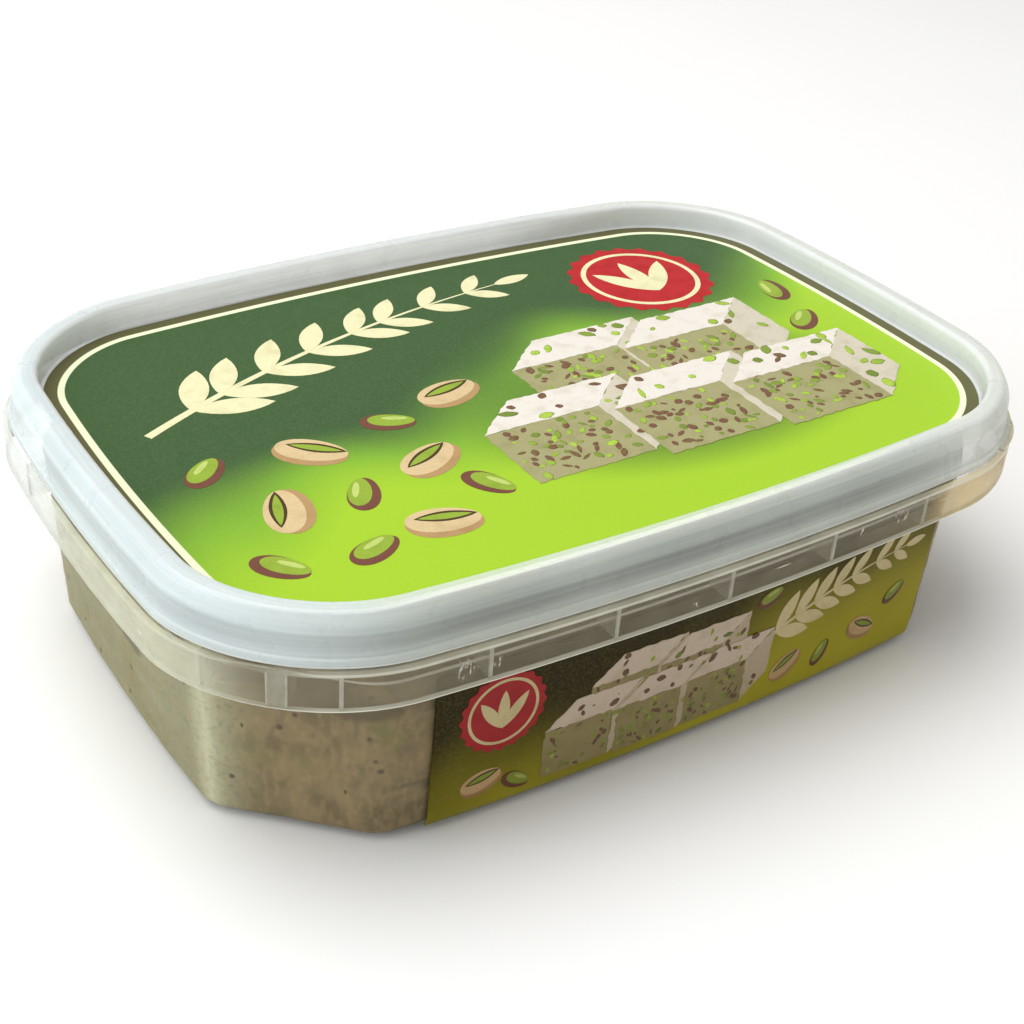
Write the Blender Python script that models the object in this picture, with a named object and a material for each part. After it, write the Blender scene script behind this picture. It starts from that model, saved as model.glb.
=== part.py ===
"""A shut clear tub of pistachio halva, with its push-on lid and its printed labels.

Metres, +Z up. X runs along the tub's long sides, and Y across it from the front label to the back
one. The origin is the middle of the tub's foot, on the surface that it stands on.

Every level section of the tub and the lid is the same figure: a rectangle with round corners and
softly bowed sides. A section is named by its offset, how far it lies outside the lower edge of the
lid's skirt, so what lies further in has a negative offset. Below the collar the tub's corners are
cut off straight. A section's cut is 1 there, and 0 where the corners are round.
"""
import math

import bmesh
import bpy
from mathutils import Matrix, Vector

MM = 0.001

# Figure of the lid's lower edge
LID_HALF_LENGTH = 70.0 * MM
LID_HALF_WIDTH = 48.5 * MM
CORNER_RADIUS = 23.0 * MM
LONG_SIDE_BOW = 4.1 * MM
SHORT_SIDE_BOW = 2.8 * MM

# Figure of the tub's foot
CUT_LEG = 16.0 * MM               # how far each cut runs along both sides
CUT_ROUND = 6.5 * MM              # radius of the upright edges beside it
FOOT_EXTRA_WIDTH = 0.4 * MM       # the long sides stand out a little more than the short ones

# Heights above the surface that the tub stands on
CUT_HIGH = 26.5 * MM              # above this the cut corners turn round
COLLAR_LOW = 27.4 * MM
FILL_LEVEL = 29.5 * MM
LEDGE = 32.4 * MM
LID_LOW = 33.0 * MM
PANEL = 35.6 * MM
SHOULDER = 37.4 * MM
CREST = 39.7 * MM

# Offsets of the tub's and lid's main walls
FOOT_OFFSET = -5.0 * MM
WALL_TOP_OFFSET = -3.4 * MM
COLLAR_OFFSET = 0.9 * MM
RIM_OFFSET = -2.7 * MM
SHOULDER_OFFSET = -0.75 * MM
CREST_OFFSET = -2.6 * MM          # middle of the crest's outer round
CREST_INNER_OFFSET = -3.8 * MM    # middle of its inner round
PANEL_OFFSET = -5.1 * MM
BAND_PROUD = 0.25 * MM            # the skirt's lower band stands this far out of the rest

# Thicknesses, small radii and small heights
TUB_WALL = 0.7 * MM
LID_WALL = 0.8 * MM
LABEL_THICKNESS = 0.3 * MM
FOOT_ROUND = 3.0 * MM
RIM_BEAD_RADIUS = 0.55 * MM
CREST_RADIUS = 1.0 * MM
CREST_INNER_RADIUS = 0.85 * MM
SHOULDER_RADIUS = 1.0 * MM
RECESS_FILLET = 0.45 * MM
BAND_HEIGHT = 1.3 * MM
EDGE_ROUND = 0.3 * MM
GAP = 0.3 * MM                    # kept between pieces that touch

# Webs that brace the collar from behind
LONG_SIDE_RIBS = 7
LONG_SIDE_PITCH = 18.0 * MM
SHORT_SIDE_RIBS = 5
SHORT_SIDE_PITCH = 16.0 * MM
CORNER_RIB_PLACE = 61.0 * MM      # from the middle of the long side, measured round the collar
RIB_THICKNESS = 0.5 * MM
CORNER_RIB_THICKNESS = 2.6 * MM
RIB_LOW = 27.55 * MM
RIB_BITE = 0.3 * MM               # how far a web runs into the wall, the collar and the flange

# Labels on the long sides
LABEL_HALF_LENGTH = 43.7 * MM
LABEL_SHIFT = 1.3 * MM            # the print sits a little off the middle of its side
LABEL_TOP = 26.2 * MM
LABEL_FOOT_ANGLE = -38.0          # how far it follows the foot's round, in degrees

# Lift tab on the lid's front right corner
TAB_FROM, TAB_TO = -66.0, -44.0   # its place on the corner's arc, in degrees
TAB_REACH = 1.1 * MM
TAB_HIGH = 33.9 * MM
TAB_LOW = 32.75 * MM

CORNER_STEPS = 10
SIDE_STEPS = 8
ROUND_STEPS = 4
LABEL_COLUMNS = 26
TAB_STEPS = 6


def clear_scene():
    for item in list(bpy.data.objects):
        bpy.data.objects.remove(item, do_unlink=True)


def collection(name):
    group = bpy.data.collections.new(name)
    bpy.context.scene.collection.children.link(group)
    return group


def material(name, colour, roughness, alpha=1.0):
    look = bpy.data.materials.new(name)
    look.use_nodes = True
    shader = look.node_tree.nodes["Principled BSDF"]
    shader.inputs["Base Color"].default_value = (*colour, 1.0)
    shader.inputs["Roughness"].default_value = roughness
    shader.inputs["Metallic"].default_value = 0.0
    shader.inputs["Alpha"].default_value = alpha
    look.diffuse_color = (*colour, alpha)
    return look


def figure(offset, height):
    """Half length, half width and corner radius of the section at this offset and height."""
    widening = FOOT_EXTRA_WIDTH * max(0.0, 1.0 - height / COLLAR_LOW)
    return LID_HALF_LENGTH + offset, LID_HALF_WIDTH + offset + widening, CORNER_RADIUS + offset


def cut_size(offset):
    """Leg and edge radius of the cut corner at this offset, and how far both reach along a side."""
    deeper = offset - FOOT_OFFSET
    tangent = math.tan(math.radians(22.5))
    leg = CUT_LEG + 2.0 * (1.0 - math.sqrt(0.5)) * deeper
    radius = CUT_ROUND + deeper
    return leg, radius, leg + radius * tangent


def corner_insets(offset, cut):
    """How far the points of one corner lie inside its two sides, from the first side to the second."""
    radius = CORNER_RADIUS + offset
    turns = [math.radians(90.0 * step / CORNER_STEPS) for step in range(CORNER_STEPS + 1)]
    round_ones = [(radius - radius * math.cos(turn), radius - radius * math.sin(turn)) for turn in turns]
    leg, edge, reach = cut_size(offset)
    arc_steps = (CORNER_STEPS - 1) // 3
    turns = [math.radians(45.0 * step / arc_steps) for step in range(arc_steps + 1)]
    first = [(edge - edge * math.cos(turn), reach - edge * math.sin(turn)) for turn in turns]
    last = [(b, a) for a, b in reversed(first)]
    flat_steps = CORNER_STEPS - 2 * arc_steps
    (near_a, near_b), (far_a, far_b) = first[-1], last[0]
    flat = [(near_a + (far_a - near_a) * step / flat_steps, near_b + (far_b - near_b) * step / flat_steps)
            for step in range(1, flat_steps)]
    return [(a + (c - a) * cut, b + (d - b) * cut) for (a, b), (c, d) in zip(round_ones, first + flat + last)]


def bowed(x, y, half_length, half_width):
    """Draws the corners in, which leaves the sides bowed outwards."""
    long_bow = LONG_SIDE_BOW * (half_length / LID_HALF_LENGTH) ** 2
    short_bow = SHORT_SIDE_BOW * (half_width / LID_HALF_WIDTH) ** 2
    return (x - short_bow * (y / half_width) ** 2 * (x / half_length),
            y - long_bow * (x / half_length) ** 2 * (y / half_width))


def corner_point(degrees, offset, height):
    """The point of the section that lies in this direction from its corner's centre."""
    half_length, half_width, radius = figure(offset, height)
    east, north = math.cos(math.radians(degrees)), math.sin(math.radians(degrees))
    centre_x = math.copysign(half_length - radius, east)
    centre_y = math.copysign(half_width - radius, north)
    x, y = bowed(centre_x + radius * east, centre_y + radius * north, half_length, half_width)
    return Vector((x, y, height))


def section(offset, height, cut=0.0):
    """The closed section as points, anticlockwise seen from above."""
    half_length, half_width, _ = figure(offset, height)
    arc = [(half_length - a, half_width - b) for a, b in corner_insets(offset, cut)]
    arcs = [arc, [(-x, y) for x, y in reversed(arc)],
            [(-x, -y) for x, y in arc], [(x, -y) for x, y in reversed(arc)]]
    points = []
    for corner, arc in enumerate(arcs):
        points += arc
        here, there = arc[-1], arcs[(corner + 1) % 4][0]
        for step in range(1, SIDE_STEPS):
            share = step / SIDE_STEPS
            points.append((here[0] + (there[0] - here[0]) * share, here[1] + (there[1] - here[1]) * share))
    return [Vector((*bowed(x, y, half_length, half_width), height)) for x, y in points]


def side_point(x, offset, height):
    """The point of the tub's front long side that is this far along it."""
    half_length, half_width, _ = figure(offset, height)
    _, edge, reach = cut_size(offset)
    past = max(0.0, abs(x) - (half_length - reach))
    y = edge - half_width - math.sqrt(edge ** 2 - past ** 2)
    return Vector((*bowed(x, y, half_length, half_width), height))


def round_profile(centre, radius, start, end, steps=ROUND_STEPS):
    """Points of an arc in the plane of offset and height, from one angle to another in degrees."""
    angles = [math.radians(start + (end - start) * step / steps) for step in range(steps + 1)]
    return [(centre[0] + radius * math.cos(a), centre[1] + radius * math.sin(a)) for a in angles]


def wall_profile(outset, top, lowest_angle=-90.0):
    """The tub's outer wall moved outwards by outset, from its foot's round up to the height top.

    Each point is an offset, a height and the corners' cut there.
    """
    centre = (FOOT_OFFSET - FOOT_ROUND, FOOT_ROUND)
    slope = (WALL_TOP_OFFSET - FOOT_OFFSET) / (LEDGE - FOOT_ROUND)
    profile = [(*point, 1.0) for point in round_profile(centre, FOOT_ROUND + outset, lowest_angle, 0.0)]
    for height in [CUT_HIGH, top] if top > CUT_HIGH else [top]:
        cut = min(1.0, (LEDGE - TUB_WALL - height) / (LEDGE - TUB_WALL - CUT_HIGH))
        profile.append((FOOT_OFFSET + outset + slope * (height - FOOT_ROUND), height, cut))
    return profile


def tub_profile():
    """Once round the tub's wall: up its outside, round flange, collar and rim, and down its inside."""
    flange_low = LEDGE - TUB_WALL
    collar_inner = COLLAR_OFFSET - TUB_WALL
    rim_inner, rim_outer = RIM_OFFSET - TUB_WALL / 2, RIM_OFFSET + TUB_WALL / 2
    bead = (RIM_OFFSET, SHOULDER - RIM_BEAD_RADIUS)
    outside = wall_profile(0.0, flange_low)
    flange = [(collar_inner, flange_low), (collar_inner, COLLAR_LOW),
              (COLLAR_OFFSET, COLLAR_LOW), (COLLAR_OFFSET, LEDGE - EDGE_ROUND),
              (COLLAR_OFFSET - EDGE_ROUND, LEDGE)]
    rim = [(rim_outer, LEDGE), (rim_outer, SHOULDER - 2 * RIM_BEAD_RADIUS)]
    rim += round_profile(bead, RIM_BEAD_RADIUS, -30.0, 210.0, steps=6)
    rim += [(rim_inner, LEDGE + EDGE_ROUND)]
    inside = reversed(wall_profile(-TUB_WALL, flange_low - EDGE_ROUND))
    return outside + flange + rim + list(inside)


def lid_profile():
    """Once round the lid's wall: from the label's pocket over the crest to the skirt, and back inside."""
    pocket = PANEL - 2 * LABEL_THICKNESS
    recess_foot = (PANEL_OFFSET, PANEL + RECESS_FILLET)
    crest_inner = (CREST_INNER_OFFSET, CREST - CREST_INNER_RADIUS)
    crest_outer = (CREST_OFFSET, CREST - CREST_RADIUS)
    shoulder_middle = (SHOULDER_OFFSET - SHOULDER_RADIUS, SHOULDER)
    band_top = LID_LOW + BAND_HEIGHT
    outside = [(PANEL_OFFSET, pocket)]
    outside += round_profile(recess_foot, RECESS_FILLET, -90.0, -10.0, steps=3)
    outside += round_profile(crest_inner, CREST_INNER_RADIUS, 170.0, 90.0, steps=3)
    outside += round_profile(crest_outer, CREST_RADIUS, 90.0, 40.0, steps=2)
    outside += round_profile(shoulder_middle, SHOULDER_RADIUS, 40.0, 0.0, steps=2)
    outside += [(-BAND_PROUD - EDGE_ROUND / 3, band_top + EDGE_ROUND / 3),
                (-EDGE_ROUND / 3, band_top - EDGE_ROUND / 3),
                (0.0, LID_LOW)]
    inside = [(-LID_WALL, LID_LOW),
              (-BAND_PROUD - LID_WALL, band_top),
              (SHOULDER_OFFSET - LID_WALL, SHOULDER - EDGE_ROUND)]
    inside += round_profile(crest_outer, CREST_RADIUS - LID_WALL, 40.0, 90.0, steps=1)
    inside += [(CREST_INNER_OFFSET, CREST - LID_WALL)]
    inside += round_profile(recess_foot, RECESS_FILLET + LID_WALL, -10.0, -60.0, steps=2)
    inside += [(PANEL_OFFSET + EDGE_ROUND, pocket - LID_WALL)]
    return outside + inside


def loft(name, loops, look, group):
    """A closed solid through a run of closed loops with equal counts, with both ends filled."""
    body = bmesh.new()
    rows = [[body.verts.new(point) for point in loop] for loop in loops]
    for row, following in zip(rows, rows[1:]):
        for here in range(len(row)):
            ahead = (here + 1) % len(row)
            body.faces.new((row[here], row[ahead], following[ahead], following[here]))
    body.faces.new(rows[0])
    body.faces.new(rows[-1])
    bmesh.ops.recalc_face_normals(body, faces=body.faces)
    mesh = bpy.data.meshes.new(name)
    body.to_mesh(mesh)
    body.free()
    mesh.materials.append(look)
    mesh.shade_smooth()
    mesh.set_sharp_from_angle(angle=math.radians(35.0))
    piece = bpy.data.objects.new(name, mesh)
    group.objects.link(piece)
    return piece


def unite(piece, cutter):
    joint = piece.modifiers.new("join " + cutter.name, "BOOLEAN")
    joint.operation = "UNION"
    joint.object = cutter


def hide_guide(guide):
    guide.hide_render = True
    guide.display_type = "WIRE"


def rib_distances(quarter):
    """How far round from the middle of the front side each web stands, with its thickness."""
    distances = []
    for side in range(4):
        count, pitch = ((LONG_SIDE_RIBS, LONG_SIDE_PITCH), (SHORT_SIDE_RIBS, SHORT_SIDE_PITCH))[side % 2]
        for index in range(count):
            distances.append((quarter * side + pitch * (index - (count - 1) / 2), RIB_THICKNESS))
    for side in (0, 2):
        for away in (-CORNER_RIB_PLACE, CORNER_RIB_PLACE):
            distances.append((quarter * side + away, CORNER_RIB_THICKNESS))
    return sorted((distance % (4 * quarter), thickness) for distance, thickness in distances)


def rib_places():
    """Each web's spot in the hollow behind the collar, the direction that points outwards, its thickness."""
    points = section((COLLAR_OFFSET - TUB_WALL + WALL_TOP_OFFSET) / 2, COLLAR_LOW)
    start = min(range(len(points)), key=lambda index: (points[index].y > 0.0, abs(points[index].x)))
    walk = points[start:] + points[:start + 1]
    quarter = sum((b - a).length for a, b in zip(walk, walk[1:])) / 4
    waiting = rib_distances(quarter)
    places = []
    travelled = 0.0
    for a, b in zip(walk, walk[1:]):
        step = (b - a).length
        while waiting and waiting[0][0] < travelled + step:
            distance, thickness = waiting.pop(0)
            spot = a.lerp(b, (distance - travelled) / step)
            places.append((spot, Vector((b.y - a.y, a.x - b.x, 0.0)).normalized(), thickness))
        travelled += step
    return places


def make_ribs(look, group):
    """All the webs as one cutter: thin upright plates from the wall to the collar."""
    depth = COLLAR_OFFSET - TUB_WALL - WALL_TOP_OFFSET + 2 * RIB_BITE
    top = LEDGE - TUB_WALL + RIB_BITE
    body = bmesh.new()
    for spot, outwards, thickness in rib_places():
        turn = Matrix.Rotation(math.atan2(outwards.y, outwards.x), 4, "Z")
        middle = Vector((spot.x, spot.y, (RIB_LOW + top) / 2))
        size = Matrix.Diagonal((depth, thickness, top - RIB_LOW, 1.0))
        bmesh.ops.create_cube(body, size=1.0, matrix=Matrix.Translation(middle) @ turn @ size)
    mesh = bpy.data.meshes.new("collar_webs")
    body.to_mesh(mesh)
    body.free()
    mesh.materials.append(look)
    ribs = bpy.data.objects.new("collar_webs", mesh)
    group.objects.link(ribs)
    hide_guide(ribs)
    return ribs


def make_tub(look, group, guides):
    tub = loft("tub", [section(*place) for place in tub_profile()], look, group)
    unite(tub, make_ribs(look, guides))
    return tub


def make_lid(look, group, guides):
    lid = loft("lid", [section(*place) for place in lid_profile()], look, group)
    loops = []
    for step in range(TAB_STEPS + 1):
        share = step / TAB_STEPS
        degrees = TAB_FROM + (TAB_TO - TAB_FROM) * share
        reach = TAB_REACH * math.sin(math.pi * (0.15 + 0.7 * share)) ** 0.5
        corners = [(-0.4 * MM, TAB_HIGH), (-0.4 * MM, TAB_LOW), (reach, TAB_LOW), (reach, TAB_LOW + 0.7 * MM)]
        loops.append([corner_point(degrees, offset, height) for offset, height in corners])
    tab = loft("lift_tab", loops, look, guides)
    hide_guide(tab)
    unite(lid, tab)
    return lid


def make_halva(look, group):
    """The contents, pressed flat into the tub, with a soft upper edge."""
    soft_edge = 0.8 * MM
    profile = wall_profile(-TUB_WALL - GAP, FILL_LEVEL - soft_edge)
    edge_offset, edge_height, cut = profile[-1]
    soft_round = round_profile((edge_offset - soft_edge, edge_height), soft_edge, 30.0, 90.0, steps=2)
    profile += [(*point, cut) for point in soft_round]
    return loft("halva", [section(*place) for place in profile], look, group)


def make_lid_label(look, group):
    offset = PANEL_OFFSET - GAP
    loops = [section(offset, PANEL - LABEL_THICKNESS), section(offset, PANEL)]
    return loft("lid_label", loops, look, group)


def make_side_label(name, side, look, group):
    """A skin over the tub's long wall. side is 1 for the front and -1 for the back."""
    near = wall_profile(GAP, LABEL_TOP, LABEL_FOOT_ANGLE)
    far = wall_profile(GAP + LABEL_THICKNESS, LABEL_TOP, LABEL_FOOT_ANGLE)
    loops = []
    for column in range(LABEL_COLUMNS + 1):
        along = LABEL_SHIFT + LABEL_HALF_LENGTH * (2.0 * column / LABEL_COLUMNS - 1.0)
        points = [side_point(along, offset, height) for offset, height, _ in far + near[::-1]]
        loops.append([Vector((side * point.x, side * point.y, point.z)) for point in points])
    return loft(name, loops, look, group)


def main():
    clear_scene()
    pack = collection("halva_tub")
    guides = collection("guides")
    clear_plastic = material("clear tub plastic", (0.80, 0.80, 0.72), 0.25, alpha=0.4)
    milky_plastic = material("milky lid plastic", (0.72, 0.80, 0.82), 0.35, alpha=0.8)
    halva_paste = material("pistachio halva", (0.52, 0.45, 0.28), 0.75)
    lid_print = material("lid label print", (0.36, 0.62, 0.06), 0.4)
    side_print = material("side label print", (0.16, 0.18, 0.02), 0.4)
    make_tub(clear_plastic, pack, guides)
    make_lid(milky_plastic, pack, guides)
    make_halva(halva_paste, pack)
    make_lid_label(lid_print, pack)
    make_side_label("front_label", 1.0, side_print, pack)
    make_side_label("back_label", -1.0, side_print, pack)


main()
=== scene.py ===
"""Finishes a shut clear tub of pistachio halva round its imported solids.

Metres, +Z up. X runs along the tub's long sides, and Y across it from the front label to the back
one. Every level section of the tub and the lid is the same figure: a rectangle with round corners
and softly bowed sides. A section is named by its offset, how far it lies outside the lower edge of
the lid's skirt, so what lies further in has a negative offset. Below the collar the tub's corners
are cut off straight. A section's cut is 1 there, and 0 where the corners are round.
"""

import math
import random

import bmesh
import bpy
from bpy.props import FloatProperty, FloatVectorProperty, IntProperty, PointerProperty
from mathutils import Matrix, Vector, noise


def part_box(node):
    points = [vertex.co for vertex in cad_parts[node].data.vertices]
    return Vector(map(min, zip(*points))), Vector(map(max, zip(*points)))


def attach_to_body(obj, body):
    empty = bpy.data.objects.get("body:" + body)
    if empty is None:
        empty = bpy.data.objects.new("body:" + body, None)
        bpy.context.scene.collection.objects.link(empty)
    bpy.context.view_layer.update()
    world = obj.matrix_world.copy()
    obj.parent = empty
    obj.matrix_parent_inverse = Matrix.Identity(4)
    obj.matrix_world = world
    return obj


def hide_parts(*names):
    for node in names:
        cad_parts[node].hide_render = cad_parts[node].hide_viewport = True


bl_info = {
    "name": "Halva tub",
    "version": (1, 0, 0),
    "blender": (4, 5, 0),
    "location": "3D View > Sidebar > Halva tub",
    "description": "Makes a shut clear tub of pistachio halva with its milky lid and printed films",
    "category": "Object",
}

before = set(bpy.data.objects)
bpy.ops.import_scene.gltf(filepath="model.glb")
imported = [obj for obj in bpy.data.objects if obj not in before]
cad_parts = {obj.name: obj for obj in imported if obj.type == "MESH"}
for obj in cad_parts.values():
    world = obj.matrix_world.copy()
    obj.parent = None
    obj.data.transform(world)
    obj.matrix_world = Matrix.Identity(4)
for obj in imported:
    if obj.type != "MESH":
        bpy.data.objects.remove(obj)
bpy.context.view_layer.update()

MM = 0.001
EVEN = (1.0, 1.0, 1.0)            # a stretch or shade that changes nothing

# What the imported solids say
TUB_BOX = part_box("tub")
LID_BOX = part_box("lid")
HALVA_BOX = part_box("halva")
LID_LABEL_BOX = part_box("lid_label")
FRONT_LABEL_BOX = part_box("front_label")

# Figure of the lid's lower edge
HALF_LENGTH = -LID_BOX[0].x
HALF_WIDTH = -LID_BOX[0].y
CORNER_RADIUS = 23.0 * MM
LONG_SIDE_BOW = 4.1 * MM
SHORT_SIDE_BOW = 2.8 * MM

# Figure of the tub's foot
CUT_LEG = 16.0 * MM               # how far each cut runs along both sides
CUT_ROUND = 6.5 * MM              # radius of the upright edges beside it
FOOT_EXTRA_WIDTH = 0.4 * MM       # the long sides stand out a little more than the short ones

# Heights above the surface that the tub stands on
COLLAR_LOW = 27.1 * MM
LEDGE = 32.7 * MM
LID_LOW = 32.85 * MM
FILL_LEVEL = HALVA_BOX[1].z
CUT_HIGH = 26.5 * MM              # from here the tub's cut corners turn round
CUT_END = 31.7 * MM               # and here they are round
PANEL = LID_LABEL_BOX[1].z
SHOULDER = TUB_BOX[1].z
CREST = LID_BOX[1].z

# Offsets of the tub's and lid's main walls
FOOT_OFFSET = -5.0 * MM
WALL_TOP_OFFSET = -3.4 * MM
COLLAR_OFFSET = TUB_BOX[1].x - HALF_LENGTH
RIM_OFFSET = -2.7 * MM
SHOULDER_OFFSET = -0.75 * MM
CREST_OFFSET = -2.6 * MM          # centre of the crest's outer round
CREST_INNER_OFFSET = -3.8 * MM    # centre of its inner round
PANEL_OFFSET = -5.1 * MM
BAND_PROUD = 0.25 * MM

# Small radii and heights
FOOT_ROUND = 3.0 * MM
CREST_RADIUS = 1.0 * MM
CREST_INNER_RADIUS = 0.85 * MM
SHOULDER_RADIUS = 1.0 * MM
RECESS_FILLET = 0.45 * MM
RECESS_STRAIGHT = 1.5 * MM        # the recess's wall is straight up to here above the panel
RECESS_DRAFT = 0.02 * MM
POCKET_DEPTH = 0.3 * MM           # of the film's pocket, under the film's solid
RIM_BEAD_RADIUS = 0.55 * MM
BAND_HEIGHT = 1.3 * MM
EDGE_ROUND = 0.3 * MM
WALL_SLOPE = (WALL_TOP_OFFSET - FOOT_OFFSET) / (32.4 * MM - FOOT_ROUND)

# Larger scratched places on the front of the collar: size, and then X, Y and Z
COLLAR_SCUFFS = ((1.9 * MM, -39.7 * MM, -48.1 * MM, 30.2 * MM),
                 (1.0 * MM, -35.5 * MM, -48.3 * MM, 30.0 * MM),
                 (0.9 * MM, -6.0 * MM, -49.4 * MM, 29.2 * MM),
                 (1.7 * MM, 30.5 * MM, -48.6 * MM, 31.0 * MM),
                 (1.0 * MM, 22.2 * MM, -49.0 * MM, 31.2 * MM))

# Films on the lid and the long sides
MOTIF_SHIFT = (FRONT_LABEL_BOX[0].x + FRONT_LABEL_BOX[1].x) / 2
FILM_FIRST = FRONT_LABEL_BOX[0].x - 1.4 * MM    # the film runs on to where the edges beside it turn
FILM_LAST = FRONT_LABEL_BOX[1].x + 3.4 * MM
LABEL_TOP = FRONT_LABEL_BOX[1].z
LABEL_FOOT_ANGLE = -38.0
FILM_NEAR = 0.05 * MM             # from the tub's wall to the film
FILM_FAR = 0.32 * MM
INK_SUNK = 0.02 * MM              # how far each ink plate reaches into what it lies on
BLOCK_RISE = 0.02 * MM            # from one drawn block's plates to the next one's
INK_RISE = 0.006 * MM             # the same for the other motifs
FLECK_HEIGHT = 0.02 * MM
LID_INK_LIFT = 0.03 * MM          # from the lid's film to the lowest plates
SIDE_INK_LIFT = 0.06 * MM

# How finely a section is divided
CORNER_STEPS = 24
SIDE_STEPS = 26
ARC_STEPS = (CORNER_STEPS - 1) // 3    # of each round edge beside a cut
SECTION_POINTS = 4 * (CORNER_STEPS + SIDE_STEPS)
SHARP_ANGLE = math.radians(38.0)

# Trim of single pieces
WEB_BITE = 0.15 * MM              # how far the webs reach into what they join
WEB_BEVEL = 0.12 * MM
WEB_RIM = 0.30 * MM               # width of the painted highlight along the edge of a corner's web
HALVA_BITE = 0.42 * MM            # how far the halva reaches into the tub's wall
HALVA_EDGE = 0.8 * MM             # radius of its upper edge
DENTS = 220.0                     # how many dents, and how many crumbs, fit in a metre of the halva
CRUMBS = 900.0
TOP_ROUGHNESS = 2.5               # its top is this much rougher than its sides
FLOOR_REACH = 3.0                 # half the length of the floor's sides


def srgb(red, green, blue):
    """A colour given by its screen values from 0 to 255, as linear light."""
    return tuple((value / 255.0) ** 2.2 for value in (red, green, blue))


def length_setting(name, text, value, **limits):
    """A setting in metres."""
    return FloatProperty(name=name, description=text, default=value, subtype="DISTANCE", unit="LENGTH",
                         **limits)


def share_setting(name, text, value):
    """A setting from 0 to 1."""
    return FloatProperty(name=name, description=text, default=value, min=0.0, max=1.0, subtype="FACTOR")


def amount_setting(name, text, value, **kind):
    """A setting without an upper limit."""
    return FloatProperty(name=name, description=text, default=value, min=0.0, **kind)


def count_setting(name, text, value, most=15):
    return IntProperty(name=name, description=text, default=value, min=1, max=most)


def colour_setting(name, text, value):
    """A colour setting, as linear light."""
    return FloatVectorProperty(name=name, description=text, default=value, size=3, subtype="COLOR")


class TubSettings(bpy.types.PropertyGroup):
    """Sizes and colours of the clear tub."""
    wall: length_setting("Wall", "Thickness of the tub's wall", 0.7 * MM, min=0.4 * MM, max=1.2 * MM)
    long_webs: count_setting("Long side's webs", "Webs behind the collar of a long side", 7)
    long_pitch: length_setting("Long side's pitch", "Between the webs of a long side", 18.0 * MM)
    short_webs: count_setting("Short side's webs", "Webs behind the collar of a short side", 5)
    short_pitch: length_setting("Short side's pitch", "Between the webs of a short side", 16.0 * MM)
    corner_place: length_setting("Corner web's place", "From the middle of the long side", 61.0 * MM)
    web_thickness: length_setting("Web thickness", "Thickness of a thin web", 0.5 * MM)
    corner_web_thickness: length_setting("Corner web", "Thickness of a corner's web", 2.6 * MM)
    haze: share_setting("Haze", "Share of light that the clear wall stops", 0.03)
    # Painted light: the collar's short sides are made paler and denser, standing in for the light on them
    end_painted_light: share_setting("Haze at the ends", "What the collar's short sides add to it", 0.16)
    collar_haze: share_setting("Collar's haze", "What the whole collar adds to it", 0.28)
    colour: colour_setting("Plastic", "Colour of the haze in the clear plastic", (0.74, 0.78, 0.74))
    # Painted shade: a dark brown colour over the collar's long sides
    collar_shade_colour: colour_setting("Collar", "Colour of the haze in the collar's long sides",
                                  (0.28, 0.24, 0.15))
    # Painted warm back-light on the collar's right end
    warm_light_colour: colour_setting("Warm end", "Colour of the haze in the collar's right end",
                                (0.84, 0.64, 0.26))


class LidSettings(bpy.types.PropertyGroup):
    """Sizes and colours of the milky lid."""
    wall: length_setting("Wall", "Thickness of the lid's wall", 0.8 * MM, min=0.4 * MM, max=1.2 * MM)
    tab_reach: length_setting("Tab", "How far the lift tab stands out", 1.1 * MM)
    milk: share_setting("Milk", "Share of light that one face of the lid stops", 0.54)
    colour: colour_setting("Plastic", "Colour of the milky plastic's skirt", (0.82, 0.92, 0.84))
    crest_colour: colour_setting("Crest", "Its colour where light soaks in from above", (0.90, 0.98, 1.0))


class HalvaSettings(bpy.types.PropertyGroup):
    """Relief and colours of the halva."""
    relief: length_setting("Relief", "Depth of the dents in the pressed sides", 0.25 * MM)
    kernel_size: length_setting("Kernels", "Length of a mean piece of pistachio", 1.5 * MM)
    kernel_density: amount_setting("Density", "Pieces on a square metre of the side", 3500.0)
    seed: count_setting("Seed", "Seed of the pieces' places", 11, most=9999)
    paste: colour_setting("Paste", "Colour of the dry paste", (0.200, 0.145, 0.067))
    oily: colour_setting("Oily paste", "Colour where oil darkens the paste", (0.125, 0.088, 0.036))
    kernel: colour_setting("Pistachio", "Colour of the pieces of pistachio", (0.15, 0.14, 0.04))


class PrintSettings(bpy.types.PropertyGroup):
    """Sizes and colours of the prints."""
    border: length_setting("Border", "Width of the dark border round the lid's print", 2.0 * MM)
    line: length_setting("Line", "Width of the pale line inside the border", 1.0 * MM)
    fleck_cover: amount_setting("Flecks", "Flecks for each area of one fleck's size squared", 0.9)
    border_colour: colour_setting("Border", "Olive of the border", srgb(98, 96, 62))
    line_colour: colour_setting("Line", "Cream of the line", srgb(245, 252, 212))
    far_colour: colour_setting("Far field", "Dark green at the back of the lid", srgb(62, 92, 54))
    near_colour: colour_setting("Near field", "Lime at the front of the lid", srgb(164, 206, 46))
    # painted shade: the side prints' olives are darker than the print's own, and the light one lies below
    # as painted floor light
    side_dark: colour_setting("Side, dark", "Dark olive of the side prints", srgb(46, 38, 6))
    side_light: colour_setting("Side, light", "Light olive of the side prints", srgb(158, 148, 36))


class StageSettings(bpy.types.PropertyGroup):
    """The floor and the lights."""
    floor: colour_setting("Floor", "Colour of the pale floor", (0.97, 0.97, 0.97))
    key_power: amount_setting("Key", "Power of the large lamp overhead", 6.4, unit="POWER")
    side_power: amount_setting("Side", "Power of the cool lamp on the left", 2.6, unit="POWER")
    sky: amount_setting("Sky", "Strength of the even light all round", 0.46)


# Shapes of the tub and the lid

def figure(offset, height):
    """Half length, half width and corner radius of the section at this offset and height."""
    widening = FOOT_EXTRA_WIDTH * max(0.0, 1.0 - height / COLLAR_LOW)
    return HALF_LENGTH + offset, HALF_WIDTH + offset + widening, CORNER_RADIUS + offset


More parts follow.
